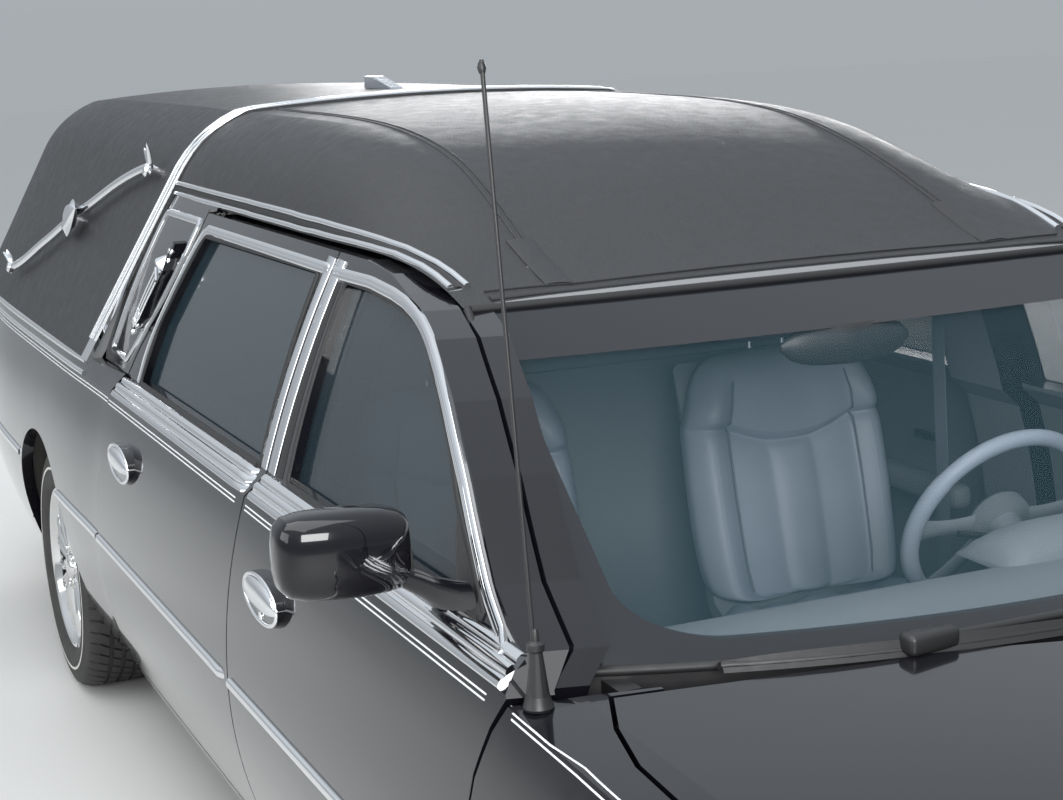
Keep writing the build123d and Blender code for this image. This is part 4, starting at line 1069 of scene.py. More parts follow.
class CAR_OT_mirrors(bpy.types.Operator):
    """Builds the door mirrors, each a swelling housing on a footed arm with a glass behind"""

    bl_idname = "car.mirrors"
    bl_label = "Door mirrors"

    # Sections on the right side, in millimetres: y, middle x, middle z, half depth, half height
    HOUSING = [
        (-1086, 1380, 1111, 4, 4), (-1085, 1380, 1111, 20, 28), (-1081, 1381, 1111, 33, 46),
        (-1070, 1383, 1111, 43, 58), (-1045, 1385, 1110, 50, 64), (-1005, 1387, 1109, 53, 66),
        (-965, 1388, 1108, 54, 66), (-930, 1388, 1107, 53, 64), (-906, 1390, 1106, 49, 60),
        (-895, 1392, 1105, 42, 54), (-890, 1394, 1104, 28, 40), (-889, 1394, 1104, 3, 3),
    ]
    ARM = [
        (-935, 1398, 1078, 26, 20), (-905, 1412, 1068, 28, 20), (-885, 1432, 1058, 32, 22),
        (-868, 1462, 1046, 40, 26), (-856, 1500, 1040, 50, 34), (-848, 1532, 1042, 52, 36),
    ]
    # The glass, set back in three steps: half width, half height, x
    GLASS = ((88, 52, 1343), (88, 52, 1338), (82, 46, 1336))
    GLASS_Y, GLASS_Z = 986, 1109
    SAIL = [(1545, 1068), (1420, 1152), (1396, 1160), (1400, 1100), (1440, 1050), (1490, 1040), (1588, 1040)]
    SEAM = [(1365, 893, 1050), (1432, 894, 1062), (1440, 896, 1110)]

    def rounded_box(self, rows, side, power, sides, front, back):
        """Sections with square shoulders; front and back scale the depth ahead and behind."""
        sections = []
        for y, x, z, deep, high in rows:
            ring = []
            for angle in circle(sides):
                u, v = squared(angle, power)
                ring.append(Vector((x + deep * u * (front if u > 0 else back), side * -y, z + high * v)) / 1000)
            sections.append(ring)
        return sections

    def execute(self, context):
        for side, label in SIDES:
            body = f"door_front_{label}"
            shape = self.rounded_box(self.HOUSING, side, 3.2, 40, 1, 0.8)
            housing = loft(f"mirror_housing_{label}", "paint", body, shape)
            shape = self.rounded_box(self.ARM, side, 2.6, 24, 0.6, 0.6)
            arm = loft(f"mirror_arm_{label}", "paint", body, shape)
            for piece in (housing, arm):
                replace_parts(piece, f"mirror_{label}")
            glass = []
            for wide, high, x in self.GLASS:
                glass.append([
                    Vector((x, side * self.GLASS_Y + wide * u, self.GLASS_Z + high * v)) / 1000
                    for u, v in (squared(angle, 3.4) for angle in circle(40))
                ])
            loft(f"mirror_glass_{label}", "reflector", body, glass)
            sail = side_spots(self.SAIL, side, [f"door_glass_front_{label}", body], 0.002)
            patch(f"mirror_sail_{label}", "plastic", body, [spot for spot, _ in sail], 0.006, 0.002)
            line(f"mirror_seam_{label}", "rubber", body, metres((x, side * y, z) for x, y, z in self.SEAM), 0.002)
        return {"FINISHED"}


MAST_Y = -0.862


def screen_point(y_share, z_share, lift=0.0):
    """A point of the windshield: across from -1 to 1, up from 0 to 1, and lifted off the glass."""
    middle, edge, half, z = (low + (high - low) * z_share for low, high in zip(GLASS_LOW, GLASS_HIGH))
    sag = middle - edge
    radius = (half * half + sag * sag) / (2 * sag)
    y = y_share * half
    x = middle - radius + math.sqrt(radius * radius - y * y)
    return Vector((x + lift * 0.43, y, z + lift * 0.9))


class CAR_OT_screen(bpy.types.Operator):
    """Adds the windshield's rubber edges, the wiper blades and the mirror inside"""

    bl_idname = "car.screen"
    bl_label = "Windshield"

    def execute(self, context):
        edges = []
        for side, label in SIDES:
            points = [screen_point(side * 0.998, t, 0.002) for t in steps(0.01, 0.985, 12)]
            edges.append(line(f"screen_edge_{label}", "rubber", "body", points, 0.0075))
        for t in (0.985, 0.006):
            points = [screen_point(y, t, 0.002) for y in steps(-0.99, 0.99, 31)]
            edges.append(line(f"screen_edge_{t}", "rubber", "body", points, 0.0075))
        merged(edges, "screen_rubber")

        # Wipers: where the arm meets the blade, and the blade's ends, in millimetres of y
        half_foot = GLASS_LOW[2] * 1000

        def before_glass(y, z):
            return Vector((screen_point(y / half_foot, 0).x + 0.034, y / 1000, z))

        for name, joint, start, stop in (("right", -330, -610, -30), ("left", 330, 60, 600)):
            points = [before_glass(y, 1.002) for y in steps(start, stop, 13)]
            blade = []
            for i, point in enumerate(points):
                swell = 1 - abs(2 * i / (len(points) - 1) - 1) ** 4
                blade.append([
                    point + Vector((u, 0, v)) / 1000 for u, v in (
                        (-9, -8), (-9, 0), (-4, 4 + 6 * swell), (1, 6 + 9 * swell), (5, 2), (9, -8),
                    )
                ])
            loft(f"wiper_blade_{name}", "rubber", "body", blade)
            claw = before_glass(joint, 1.012)
            block(f"wiper_claw_{name}", "plastic", "body", (0.034, 0.085, 0.03), claw, (0, 0, 0.1), 0.008, 3)
        lathe(
            "inside_mirror_stem", "plastic", "body", [(0, 0), (9, 0), (7, 20), (6, 60), (0, 60)],
            screen_point(0, 0.9) + Vector((-0.022, 0, -0.058)), (0.1, 0, 1), 16,
        )
        sections = []
        for t in steps(-1, 1, 15):
            size = max(0.04, 1 - abs(t) ** 3.5) ** 0.5
            centre = Vector((1.208 - 0.02 * abs(t), 0.128 * t, 1.288))
            sections.append([
                centre + Vector((0.016 * size * math.cos(a), 0, 0.036 * size * math.sin(a))) for a in circle(16)
            ])
        loft("inside_mirror", "plastic", "body", sections)

        # The aerial's foot and tip, on the mast of the solid
        foot = (1.8, MAST_Y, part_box("antennas")[0].z)
        rings = [
            (0, 0), (19, 0), (21, 4), (15, 22), (10, 62), (9, 76), (12, 80), (12, 88), (6, 92), (5, 104),
            (3.4, 108), (0, 108),
        ]
        lathe("mast_foot", "plastic", "body", rings, foot, (-0.02, 0, 1), 24)
        tip = [(0, -9), (4, -7), (6, 0), (4, 7), (0, 9)]
        lathe("mast_tip", "plastic", "body", tip, (1.704, MAST_Y, 1.796), (-0.12, 0, 1), 16)
        return {"FINISHED"}


AXLES = (("front", 2.185), ("rear", -1.531))
HALF_TRACK, TYRE_RADIUS = 0.79, 0.349
WHEELS = [
    (end, label, side, Vector((x, side * HALF_TRACK, TYRE_RADIUS)), f"wheel_{end}_{label}")
    for end, x in AXLES for side, label in SIDES
]
# Half of a tyre's section, in millimetres: radius, distance from the middle, and its tread: 1 where
# slanting blocks are cut, 2 where they end on the shoulder, 0 where nothing is cut
TYRE_HALF = [
    (348, 4, 1), (348.6, 12, 1), (341, 14, 0), (341, 22, 0), (348.6, 24, 1), (348.6, 48, 1), (341, 50, 0),
    (341, 58, 0), (348.4, 60, 1), (347, 84, 1), (341, 100, 2), (332, 112, 0), (318, 118, 0), (300, 121, 0),
    (298, 122.4, 0), (283, 122.4, 0), (281, 121, 0), (264, 121.5, 0), (246, 116, 0), (238, 110, 0), (234, 106, 0),
    (233, 100, 0),
]
# Profiles of a wheel's parts, in millimetres: radius, distance outward from its middle
WHITE_LINE = [(286, 120), (286.5, 122.5), (290, 122.9), (293.5, 122.5), (294, 120)]
RIM_LIP = [(232, 90), (236, 98), (236, 106), (231, 109), (225, 106), (219, 98), (208, 86), (206, 80), (222, 84)]
WHEEL_BOSS = [(0, 82), (44, 82), (46, 92), (70, 92), (78, 86), (82, 74), (80, 66), (0, 66)]
WHEEL_CAP = [(0, 108), (14, 107.5), (26, 105), (34, 100), (37, 94), (37, 86), (0, 86)]
BRAKE_DISC = [(88, -2), (158, -2), (160, -4), (160, -12), (158, -14), (88, -14)]
NUT_CIRCLE = 57
TREAD_PITCHES = 56
TREAD_SKEW = 0.0016  # radians that the blocks slant per millimetre across
TREAD_EDGE = 84  # distance from the middle where the slant ends


class CAR_OT_wheels(bpy.types.Operator):
    """Builds the treaded tyres, the plated wheel faces, nuts, caps and brakes"""

    bl_idname = "car.wheels"
    bl_label = "Wheels"

    def tyre_sections(self, centre, side, depth):
        """Rings round the tyre, from one bead over the tread to the other."""
        angles = [
            (2 * math.pi * (i + share) / TREAD_PITCHES, low) for i in range(TREAD_PITCHES)
            for share, low in ((0, 0), (0.78, 0), (0.82, 1), (0.96, 1))
        ]
        rings = []
        for r, h, cut in [(r, -h, cut) for r, h, cut in TYRE_HALF[::-1]] + TYRE_HALF:
            slanted = h if cut == 1 else math.copysign(TREAD_EDGE, h)
            ring = []
            for angle, low in angles:
                turn = angle + TREAD_SKEW * slanted
                radius = (r - (depth * 1000 * low if cut else 0)) / 1000
                ring.append(centre + Vector((radius * math.cos(turn), side * h / 1000, radius * math.sin(turn))))
            rings.append(ring)
        return rings

    def execute(self, context):
        depth = context.scene.car_trim.tread
        for end, label, side, centre, body in WHEELS:
            tag = f"{end}_{label}"
            axis = Vector((0, side, 0))
            tyre = loft(f"treaded_tyre_{tag}", "tyre", body, self.tyre_sections(centre, side, depth), 30, True)
            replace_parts(tyre, f"tyre_{tag}")
            lathe(f"white_line_{tag}", "white rubber", body, WHITE_LINE, centre, axis, 96, 35, True)
            bright = [lathe(f"wheel_lip_{tag}", "wheel", body, RIM_LIP, centre, axis, 96, 40, True)]
            blade = []
            for t in steps(0, 1, 9):
                radius = 64 + 146 * t
                wide, high, lift = 15 + 3 * t, 11 - 3 * t, 84 + 6 * math.sin(math.pi * t)
                blade.append([
                    Vector((radius, wide * u, lift + high * v)) / 1000
                    for u, v in ((1, -1), (0.8, 0.4), (0.3, 1), (0, 0.8), (-0.3, 1), (-0.8, 0.4), (-1, -1))
                ])
            turn = axis.to_track_quat("Z", "Y")
            # Nine pairs of spokes
            for i in range(9):
                for offset in (-8.5, 8.5):
                    spin = Matrix.Rotation(math.radians(40 * i + offset), 3, "Z")
                    sections = [[centre + turn @ (spin @ spot) for spot in ring] for ring in blade]
                    bright.append(loft(f"wheel_blade_{i}_{offset}_{tag}", "wheel", body, sections))
            bright.append(lathe(f"wheel_boss_{tag}", "wheel", body, WHEEL_BOSS, centre, axis, 64, 35))
            merged(bright, f"wheel_face_{tag}")
            lathe(f"wheel_cap_{tag}", "wheel", body, WHEEL_CAP, centre, axis, 48)
            nuts = []
            for i in range(5):
                angle = math.radians(72 * i + 36)
                spot = Vector((NUT_CIRCLE * math.cos(angle), NUT_CIRCLE * math.sin(angle), 94)) / 1000
                place = centre + turn @ spot
                nuts.append(disc(f"nut_{i}_{tag}", "wheel", body, 0.0095, 0.016, place, axis, 6, 0.0012))
            merged(nuts, f"wheel_nuts_{tag}")
            lathe(f"brake_disc_{tag}", "brushed", body, BRAKE_DISC, centre, axis, 72, 30, True)
            stem = centre + turn @ (Vector((196, 0, 80)) / 1000)
            lathe(f"valve_{tag}", "rubber", body, [(0, 0), (4, 0), (4, 24), (2.5, 30), (0, 30)], stem, axis, 12)
        return {"FINISHED"}


class CAR_OT_front_end(bpy.types.Operator):
    """Adds lamp reflectors, bright frames and the number plate at the nose"""

    bl_idname = "car.front_end"
    bl_label = "Front end"

    # Outlines in front view, in millimetres: y, z; and each reflector's y, z and radius
    LAMP = [(445, 560), (450, 735), (640, 715), (700, 640), (690, 570)]
    BOWLS = ((508, 648, 62), (618, 642, 54))
    GRILLE = [(-360, 482), (-395, 735), (395, 735), (360, 482)]

    def execute(self, context):
        for side, label in SIDES:
            ring = looped(softened(grow(self.LAMP, 5), 2, True), 40)
            spots = [nose_point(side * y, z, ["front_fenders", "headlamps", "hood"]) for y, z in ring]
            strip(f"headlamp_frame_{label}", "chrome", "body", spots, half_round(12, 5), True)
            for i, (y, z, radius) in enumerate(self.BOWLS):
                face, _ = nose_point(side * y, z, ["headlamps"])
                place = face - Vector((0.075, 0, 0))
                lathe(
                    f"headlamp_bowl_{i}_{label}", "reflector", "body",
                    [(0, -36), (radius * 0.4, -32), (radius * 0.75, -14), (radius, 18), (radius + 4, 18),
                     (radius * 0.8, -18), (radius * 0.4, -38), (0, -42)], place, (1, 0, 0), 40, 40,
                )
                lathe(
                    f"headlamp_bulb_{i}_{label}", "clear", "body",
                    [(0, -34), (9, -30), (10, -10), (7, 0), (0, 4)], place, (1, 0, 0), 20,
                )
            face, _ = nose_point(side * 612, 395, ["front_bumper"])
            lens = [(0, 5), (30, 4), (38, 1), (42, 3), (45, 0), (45, -8), (0, -8)]
            lathe(f"fog_lamp_{label}", "clear", "body", lens, face, (1, 0, 0), 40)
        ahead = Vector((1, 0, 0))
        ring = [(y * 0.97, 608 + (z - 608) * 0.95) for y, z in looped(self.GRILLE, 40)]
        spots = [(nose_point(y, z, ["grille"])[0], ahead) for y, z in ring]
        strip("grille_frame", "chrome", "body", spots, half_round(20, 9), True)
        block("grille_screen", "plastic", "body", (0.012, 0.7, 0.235), (3.09, 0, 0.608), (0, 0, 0), 0.004)
        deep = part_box("front_bumper")[1].x
        block("front_plate", "plate", "body", (0.004, 0.296, 0.1), (deep - 0.031, 0, 0.385), (0, 0, 0), 0.0015, 2)
        return {"FINISHED"}


class CAR_OT_rear_end(bpy.types.Operator):
    """Adds bright frames, lamps, handle, hinges and the number plate at the tail"""

    bl_idname = "car.rear_end"
    bl_label = "Rear end"

    # Outlines in rear view, in millimetres: y, z
    LAMP = [(668, 560), (668, 900), (760, 880), (800, 700), (770, 560)]
    WINDOW = [(-440, 1110), (-350, 1350), (350, 1350), (440, 1110)]
    RECESS = [(-175, 622), (-175, 778), (175, 778), (175, 622)]
    MOLDING_Z = 1036
    # The plate: its middle's z, half the spacing of its holes across, and their heights
    PLATE_Z, HOLE_Y, HOLE_HEIGHTS = 0.7, 0.0889, (0.639675, 0.760325)

    def rear_strip(self, name, look, body, outline, nodes, profile, closed=True):
        return strip(name, look, body, [tail_point(y, z, nodes) for y, z in outline], profile, closed)

    def bar(self, name, look, y, z, size, sink, drop, round_by, segments):
        """A rounded bar on the gate at y and z, sunk toward it and dropped below the point found."""
        face, _ = tail_point(y * 1000, z * 1000, ["tailgate"])
        place = (face.x - sink, y, z - drop)
        block(name, look, "tailgate", size, place, (0, 0, 0), round_by, segments)

    def execute(self, context):
        for side, label in SIDES:
            ring = [(side * y, z) for y, z in looped(softened(grow(self.LAMP, 5), 2, True), 40)]
            nodes = ["quarter_panels", "tail_lamps"]
            self.rear_strip(f"tail_lamp_frame_{label}", "chrome", "body", ring, nodes, half_round(12, 5))
            for z0, z1, look in ((592, 650, "clear"), (664, 690, "amber")):
                window = looped([(682, z0), (682, z1), (752, z1), (752, z0)], 30)
                outline = [tail_point(side * y, z, ["tail_lamps"])[0] for y, z in window]
                patch(f"{look}_lamp_{label}", look, "body", outline, 0.006, 0.0015)
            reach = [(side * y, self.MOLDING_Z) for y in steps(652, 815, 10)]
            nodes = ["quarter_panels", "landau_roof"]
            self.rear_strip(f"rear_molding_{label}", "chrome", "body", reach, nodes, half_round(20, 7), False)
        gate = ["tailgate"]
        across = [(y, self.MOLDING_Z) for y in steps(-586, 586, 41)]
        bright = [self.rear_strip("gate_molding", "chrome", "tailgate", across, gate, half_round(20, 7), False)]
        ring = softened(looped(grow(self.WINDOW, 12), 50), 1, True)
        bright.append(self.rear_strip("gate_window_frame", "chrome", "tailgate", ring, gate, half_round(18, 6)))
        merged(bright, "tailgate_brightwork")
        seal, nodes = looped(grow(self.WINDOW, -8), 50), ["tailgate", "tailgate_glass"]
        self.rear_strip("gate_window_seal", "rubber", "tailgate", seal, nodes, half_round(14, 4))
        self.rear_strip("plate_frame", "chrome", "tailgate", looped(self.RECESS, 40), gate, half_round(12, 6))
        face, _ = tail_point(0, self.PLATE_Z * 1000, gate)
        place = (face.x - 0.003, 0, self.PLATE_Z)
        block("rear_plate", "plate", "tailgate", (0.003, 0.305, 0.145), place, (0, 0, 0), 0.001)
        for y in (-self.HOLE_Y, self.HOLE_Y):
            for z in self.HOLE_HEIGHTS:
                disc(
                    f"plate_screw_{y}_{z}", "brushed", "tailgate", 0.006, 0.004, (face.x - 0.006, y, z), (-1, 0, 0),
                    24, 0.0006, (0.0018, -0.0008),
                )
        self.bar("plate_lamp_hood", "chrome", 0, 0.84, (0.03, 0.34, 0.036), 0.012, 0.025, 0.009, 4)
        self.bar("gate_handle", "chrome", -0.5, 0.9, (0.03, 0.15, 0.028), 0.013, 0, 0.011, 4)
        barrel = [(0, -60), (9, -58), (11, -50), (11, 50), (9, 58), (0, 60)]
        for z in (0.64, 0.86):
            lathe(f"gate_hinge_{z}", "chrome", "tailgate", barrel, (-3.178, 0.632, z), (0, 0, 1), 24)
        self.bar("high_stop_lamp", "red", 0, 1.405, (0.024, 0.3, 0.022), 0.006, 0.007, 0.006, 3)
        return {"FINISHED"}


class CAR_OT_seats(bpy.types.Operator):
    """Builds the two front seats: crowned cushions with sewn channels, head restraints and piping"""

    bl_idname = "car.seats"
    bl_label = "Front seats"

    # In millimetres: x forward, z up. Distance of each seat's middle from the car's
    MIDDLE = 385
    # Places across a pad as shares of its half width, closer together where a channel is pressed in
    HALF = [0.1, 0.2, 0.22, 0.24, 0.42, 0.62, 0.64, 0.66, 0.8, 0.9, 0.97, 1.0]
    ACROSS = [-u for u in HALF[::-1]] + HALF
    # The back from its foot up: x of the front face, z, thickness, half width
    BACK = [
        (462, 590, 70, 214), (452, 612, 106, 236), (440, 660, 122, 246), (420, 740, 124, 250),
        (398, 830, 118, 252), (376, 915, 112, 250), (366, 950, 112, 248), (346, 961, 92, 244),
        (372, 972, 118, 244), (374, 1010, 122, 236), (358, 1060, 110, 220), (334, 1098, 84, 192),
        (306, 1116, 46, 150),
    ]
    # How far the rows of the back's upper groove sag in the middle
    DIPS = {5: 24, 6: 44, 7: 46, 8: 46, 9: 18}
    # The cushion from the back forward: x, z of the top, thickness, half width
    CUSHION = [
        (432, 560, 70, 222), (450, 588, 104, 242), (520, 596, 118, 254), (620, 598, 122, 258),
        (740, 604, 124, 260), (850, 610, 124, 258), (915, 604, 112, 252), (950, 580, 84, 242),
        (962, 552, 52, 226),
    ]
    # The hard shell behind and under the pads, in side view: x, z
    SHELL = [
        (448, 500), (380, 560), (330, 700), (262, 960), (232, 1080), (246, 1090), (282, 1000), (352, 720),
        (420, 590), (500, 545), (900, 540), (940, 500), (930, 440), (460, 440),
    ]

    def pad(self, name, sections, fill, level):
        """A padded form through sections, smoothed by subdivision."""
        piece = loft(name, "leather", "body", sections, 60)
        if level:
            modifier(piece, "SUBSURF", levels=level, render_levels=level)
        return piece

    def swell(self, u, thick, wing, crown, welt, channel):
        """How far a pad's face stands out at u: wing and crown, less its grooves and rounded edge."""
        edge = max(0, abs(u) - 0.62) / 0.38
        raised = wing * math.sin(math.pi * min(1, edge * 0.75))
        if abs(u) < 0.62:
            raised += crown * math.cos(u * 9.8)
        if 0.6 < abs(u) < 0.68:
            raised -= welt
        if 0.19 < abs(u) < 0.25:
            raised -= channel
        return raised - thick * 0.5 * edge ** 3

    def back_sections(self, middle):
        sections = []
        for row, (x, z, thick, half) in enumerate(self.BACK):
            # The wings end in a flat top, and the channels below the groove
            wing, flat = (30, 0) if row < 10 else (0, 8)
            crown, channel = (6, 7) if row < 7 else (0, 0)
            ring = []
            for u in self.ACROSS:
                out = flat + self.swell(u, thick, wing, crown, 9 if row < 11 else 0, channel)
                sag = self.DIPS.get(row, 0) * max(0, 1 - (u / 0.7) ** 2)
                ring.append(Vector((x + out, middle + half * u, z - sag)) / 1000)
            for u in self.ACROSS[::-1]:
                edge = max(0, abs(u) - 0.7) / 0.3
                behind = x - thick + thick * 0.42 * edge ** 2
                ring.append(Vector((behind, middle + half * u * 0.985, z - 6)) / 1000)
            sections.append(ring)
        return sections

    def cushion_sections(self, middle):
        sections = []
        for x, z, thick, half in self.CUSHION:
            ring = []
            for u in self.ACROSS:
                up = self.swell(u, thick, 20, 5, 8, 6)
                ring.append(Vector((x, middle + half * u, z + up)) / 1000)
            for u in self.ACROSS[::-1]:
                ring.append(Vector((x, middle + half * u * 0.97, z - thick)) / 1000)
            sections.append(ring)
        return sections

    def rest_sections(self, middle):
        sections = []
        for t in steps(-1, 1, 13):
            size = max(0.06, 1 - abs(t) ** 3) ** 0.5
            ring = []
            for angle in circle(20):
                u, v = squared(angle, 2.6)
                deep = 46 if u > 0 else 42
                place = (258 + deep * u * size - 8 * abs(t), middle + 134 * t, 1184 + 60 * v * (0.72 + 0.28 * size))
                ring.append(Vector(place) / 1000)
            sections.append(ring)
        return sections

    def execute(self, context):
        for side, label in SIDES:
            middle = side * self.MIDDLE
            pads = [
                self.pad(f"seat_back_{label}", self.back_sections(middle), 0.75, 2),
                self.pad(f"seat_cushion_{label}", self.cushion_sections(middle), 0.7, 2),
                self.pad(f"head_restraint_{label}", self.rest_sections(middle), 0.8, 1),
            ]
            for piece in pads:
                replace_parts(piece, "front_seats")
            posts = []
            for y in (-42, 42):
                points = metres([(264, middle + y, 1092), (260, middle + y, 1122), (257, middle + y, 1150)])
                posts.append(line(f"rest_post_{y}_{label}", "chrome", "body", points, 0.0065))
            merged(posts, f"rest_posts_{label}")
            rings = [
                metres((x, middle + y, z) for x, z in (grow(self.SHELL, -shrink) if shrink else self.SHELL))
                for y, shrink in ((-226, 8), (-216, 0), (216, 0), (226, 8))
            ]
            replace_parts(loft(f"seat_shell_{label}", "trim", "body", rings, 40), "front_seats")
            place = (0.69, middle / 1000, 0.374)
            block(f"seat_base_{label}", "plastic", "body", (0.46, 0.38, 0.15), place, (0, 0, 0), 0.02, 3)
            piping = []
            for u in (-0.64, 0.64):
                points = metres((x + 3, middle + half * u, z) for x, z, _, half in self.BACK[1:11])
                piping.append(line(f"seat_seam_{u}_{label}", "stitch", "body", points, 0.0022))
            merged(piping, f"seat_piping_{label}")
        block("seat_console", "trim", "body", (0.56, 0.2, 0.24), (0.72, 0, 0.42), (0, 0, 0), 0.03, 4)
        sections = []
        for t in steps(-1, 1, 11):
            size = max(0.05, 1 - abs(t) ** 4) ** 0.5
            wide, high = 0.088 * (0.6 + 0.4 * size), 0.03 * size
            sections.append([
                Vector((0.66 + 0.21 * t, wide * math.cos(a), 0.562 + high * math.sin(a))) for a in circle(16)
            ])
        self.pad("console_armrest", sections, 0.8, 0)
        return {"FINISHED"}


class CAR_OT_cabin(bpy.types.Operator):
    """Builds the dash top, instrument hood, vents, steering wheel, door trim, visors and belts"""

    bl_idname = "car.cabin"
    bl_label = "Cabin"

    # The dashboard in side view, in millimetres: x, z; and how much smaller it is at which y
    DASH = [
        (1630, 700), (1634, 880), (1618, 902), (1560, 918), (1490, 926), (1400, 912), (1330, 888), (1286, 850),
        (1276, 800), (1292, 742), (1340, 700), (1420, 640), (1500, 610), (1600, 610),
    ]
    DASH_ENDS = ((-690, 16), (-680, 3), (-400, 0), (0, 0), (400, 0), (680, 3), (690, 16))
    # A steering wheel spoke's section, as shares of its half width and half thickness
    SPOKE = ((1, 0), (0.7, 0.8), (0, 1), (-0.7, 0.8), (-1, 0), (-0.7, -0.8), (0, -1), (0.7, -0.8))
    HUB = [(0, 24), (30, 22), (52, 14), (62, 2), (62, -14), (34, -24), (30, -60), (28, -225), (0, -225)]
    # Side doors: end, where the armrest starts and stops
    ARMRESTS = (("front", 0.7, 1.5), ("rear", -0.33, 0.44))
    BELT = [(0.48, 0.69, 1.3), (0.47, 0.7, 1.1), (0.46, 0.72, 0.8), (0.47, 0.72, 0.5)]
    WEBBING = ((-0.022, 0), (0.022, 0), (0.022, 0.0015), (-0.022, 0.0015))
    ROLLER = [(0, -255), (12, -252), (15, -246), (15, 246), (12, 252), (0, 255)]
    PIN = [(0, 0), (34, 0), (34, 4), (14, 10), (12, 70), (16, 74), (16, 90), (10, 98), (0, 100)]

    def execute(self, context):
        rings = []
        for y, shrink in self.DASH_ENDS:
            outline = softened(grow(self.DASH, -shrink) if shrink else self.DASH, 2, True)
            rings.append(metres((x, y, z) for x, z in outline))
        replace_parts(loft("dash_shell", "trim", "body", rings, 50), "dashboard")
        sections = []
        for t in steps(-1, 1, 17):
            size = max(0.02, 1 - abs(t) ** 3) ** 0.5
            centre = Vector((1340, 370 + 190 * t, 900)) / 1000
            sections.append([
                centre + Vector((0.085 * math.cos(a), 0, 0.062 * size * max(-0.2, math.sin(a)))) for a in circle(20)
            ])
        loft("instrument_hood", "trim", "body", sections, 50)
        tilt = Vector((-math.cos(math.radians(25)), 0, math.sin(math.radians(25))))
        gauges = []
        for y, radius in ((300, 0.042), (440, 0.042), (370, 0.026)):
            place = Vector((1262, y, 894)) / 1000
            gauges.append(disc(f"gauge_{y}", "chrome", "body", radius, 0.012, place, tilt, 40, 0, (0.004, -0.005)))
        merged(gauges, "gauges")
        for i, y in enumerate((-600, -90, 90, 610)):
            block(f"vent_{i}", "plastic", "body", (0.03, 0.12, 0.055), (1.279, y / 1000, 0.83), (0, 0, 0), 0.01, 3)
            for j in range(4):
                block(
                    f"vent_slat_{i}_{j}", "trim", "body", (0.006, 0.104, 0.004),
                    (1.263, y / 1000, 0.813 + j * 0.012), (0, -0.4, 0), 0.001,
                )
        block("centre_screen", "plastic", "body", (0.02, 0.2, 0.09), (1.275, 0, 0.76), (0, -0.3, 0), 0.008, 3)
        for y in (-70, 0, 70):
            disc(f"dash_knob_{y}", "chrome", "body", 0.016, 0.02, (1.305, y / 1000, 0.69), (-1, 0, 0.2), 28, 0.003)

        # Steering wheel about the tilted column
        centre = Vector((1.12, 0.37, 0.905))
        turn = tilt.to_track_quat("Z", "Y")
        sections = []
        for angle in circle(64):
            way = Vector((math.cos(angle), math.sin(angle), 0))
            swell = 15.5 + 1.5 * (abs(math.cos(angle)) > 0.8)
            sections.append([
                centre + turn @ ((way * (185 + swell * math.cos(a)) + Vector((0, 0, swell * math.sin(a)))) / 1000)
                for a in circle(16)
            ])
        rim = loft("steering_rim", "leather", "body", sections, 60, True)
        spokes = []
        for angle in (0, 180, 235, 305):
            spin = Matrix.Rotation(math.radians(angle), 3, "Z")
            sections = []
            for t in steps(0, 1, 7):
                wide, high = 26 - 8 * math.sin(math.pi * t), 9 - 2 * t
                sections.append([
                    centre + turn @ (spin @ Vector((40 + 140 * t, wide * u, 2 + high * v - 8 * (1 - t)))) / 1000
                    for u, v in self.SPOKE
                ])
            spokes.append(loft(f"steering_spoke_{angle}", "trim", "body", sections, 60))
        arms = merged(spokes, "steering_spokes")
        hub = lathe("steering_hub", "trim", "body", self.HUB, centre, tilt, 40)
        for piece in (rim, arms, hub):
            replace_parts(piece, "steering_wheel")
        for s in (-1, 1):
            points = [centre + turn @ Vector(spot) for spot in ((0.03 * s, 0.03, -0.09), (0.15 * s, 0.05, -0.075))]
            line(f"column_stalk_{s}", "plastic", "body", points, 0.006)

        for side, label in SIDES:
            for end, start, stop in self.ARMRESTS:
                body = f"door_{end}_{label}"
                size, place = (stop - start, 0.055, 0.06), ((start + stop) / 2, side * 0.795, 0.74)
                block(f"armrest_{end}_{label}", "trim", body, size, place, (0, 0, 0), 0.022, 4)
                place = (stop - 0.14, side * 0.796, 0.86)
                block(f"door_pull_{end}_{label}", "chrome", body, (0.11, 0.012, 0.024), place, (0, 0, 0), 0.005, 3)
            place = (1.0, side * 0.36, 1.362)
            block(f"sun_visor_{label}", "lining", "body", (0.15, 0.36, 0.014), place, (0, 0.16, 0), 0.006, 3)
            rings = [[Vector((x + u, side * y + v, z)) for u, v in self.WEBBING] for x, y, z in self.BELT]
            loft(f"seat_belt_{label}", "stitch", "body", rings, 40)
            place = (0.48, side * 0.7, 1.31)
            disc(f"belt_anchor_{label}", "plastic", "body", 0.02, 0.012, place, (0, -side, 0), 24, 0.003)
        block("partition_trim", "trim", "body", (0.01, 1.2, 0.72), (0.098, 0, 0.72), (0, 0, 0), 0.004, 2)
        line("partition_rail", "brushed", "body", metres([(96, -560, 1140), (96, 560, 1140)]), 0.011)

        # Load space: bright rub rails and rollers on the deck, and two bier pins
        for side, label in SIDES:
            place = (-1.8, side * 0.33, 0.654)
            block(f"deck_rail_{label}", "brushed", "body", (2.44, 0.02, 0.008), place, (0, 0, 0), 0.003)
        for i, x in enumerate((-0.75, -1.25, -1.75, -2.25, -2.75)):
            lathe(f"deck_roller_{i}", "rubber", "body", self.ROLLER, (x, 0, 0.626), (0, 1, 0), 24)
        for x in (-0.9, -2.7):
            lathe(f"bier_pin_{x}", "chrome", "body", self.PIN, (x, 0, 0.62), (0, 0, 1), 32)
        return {"FINISHED"}


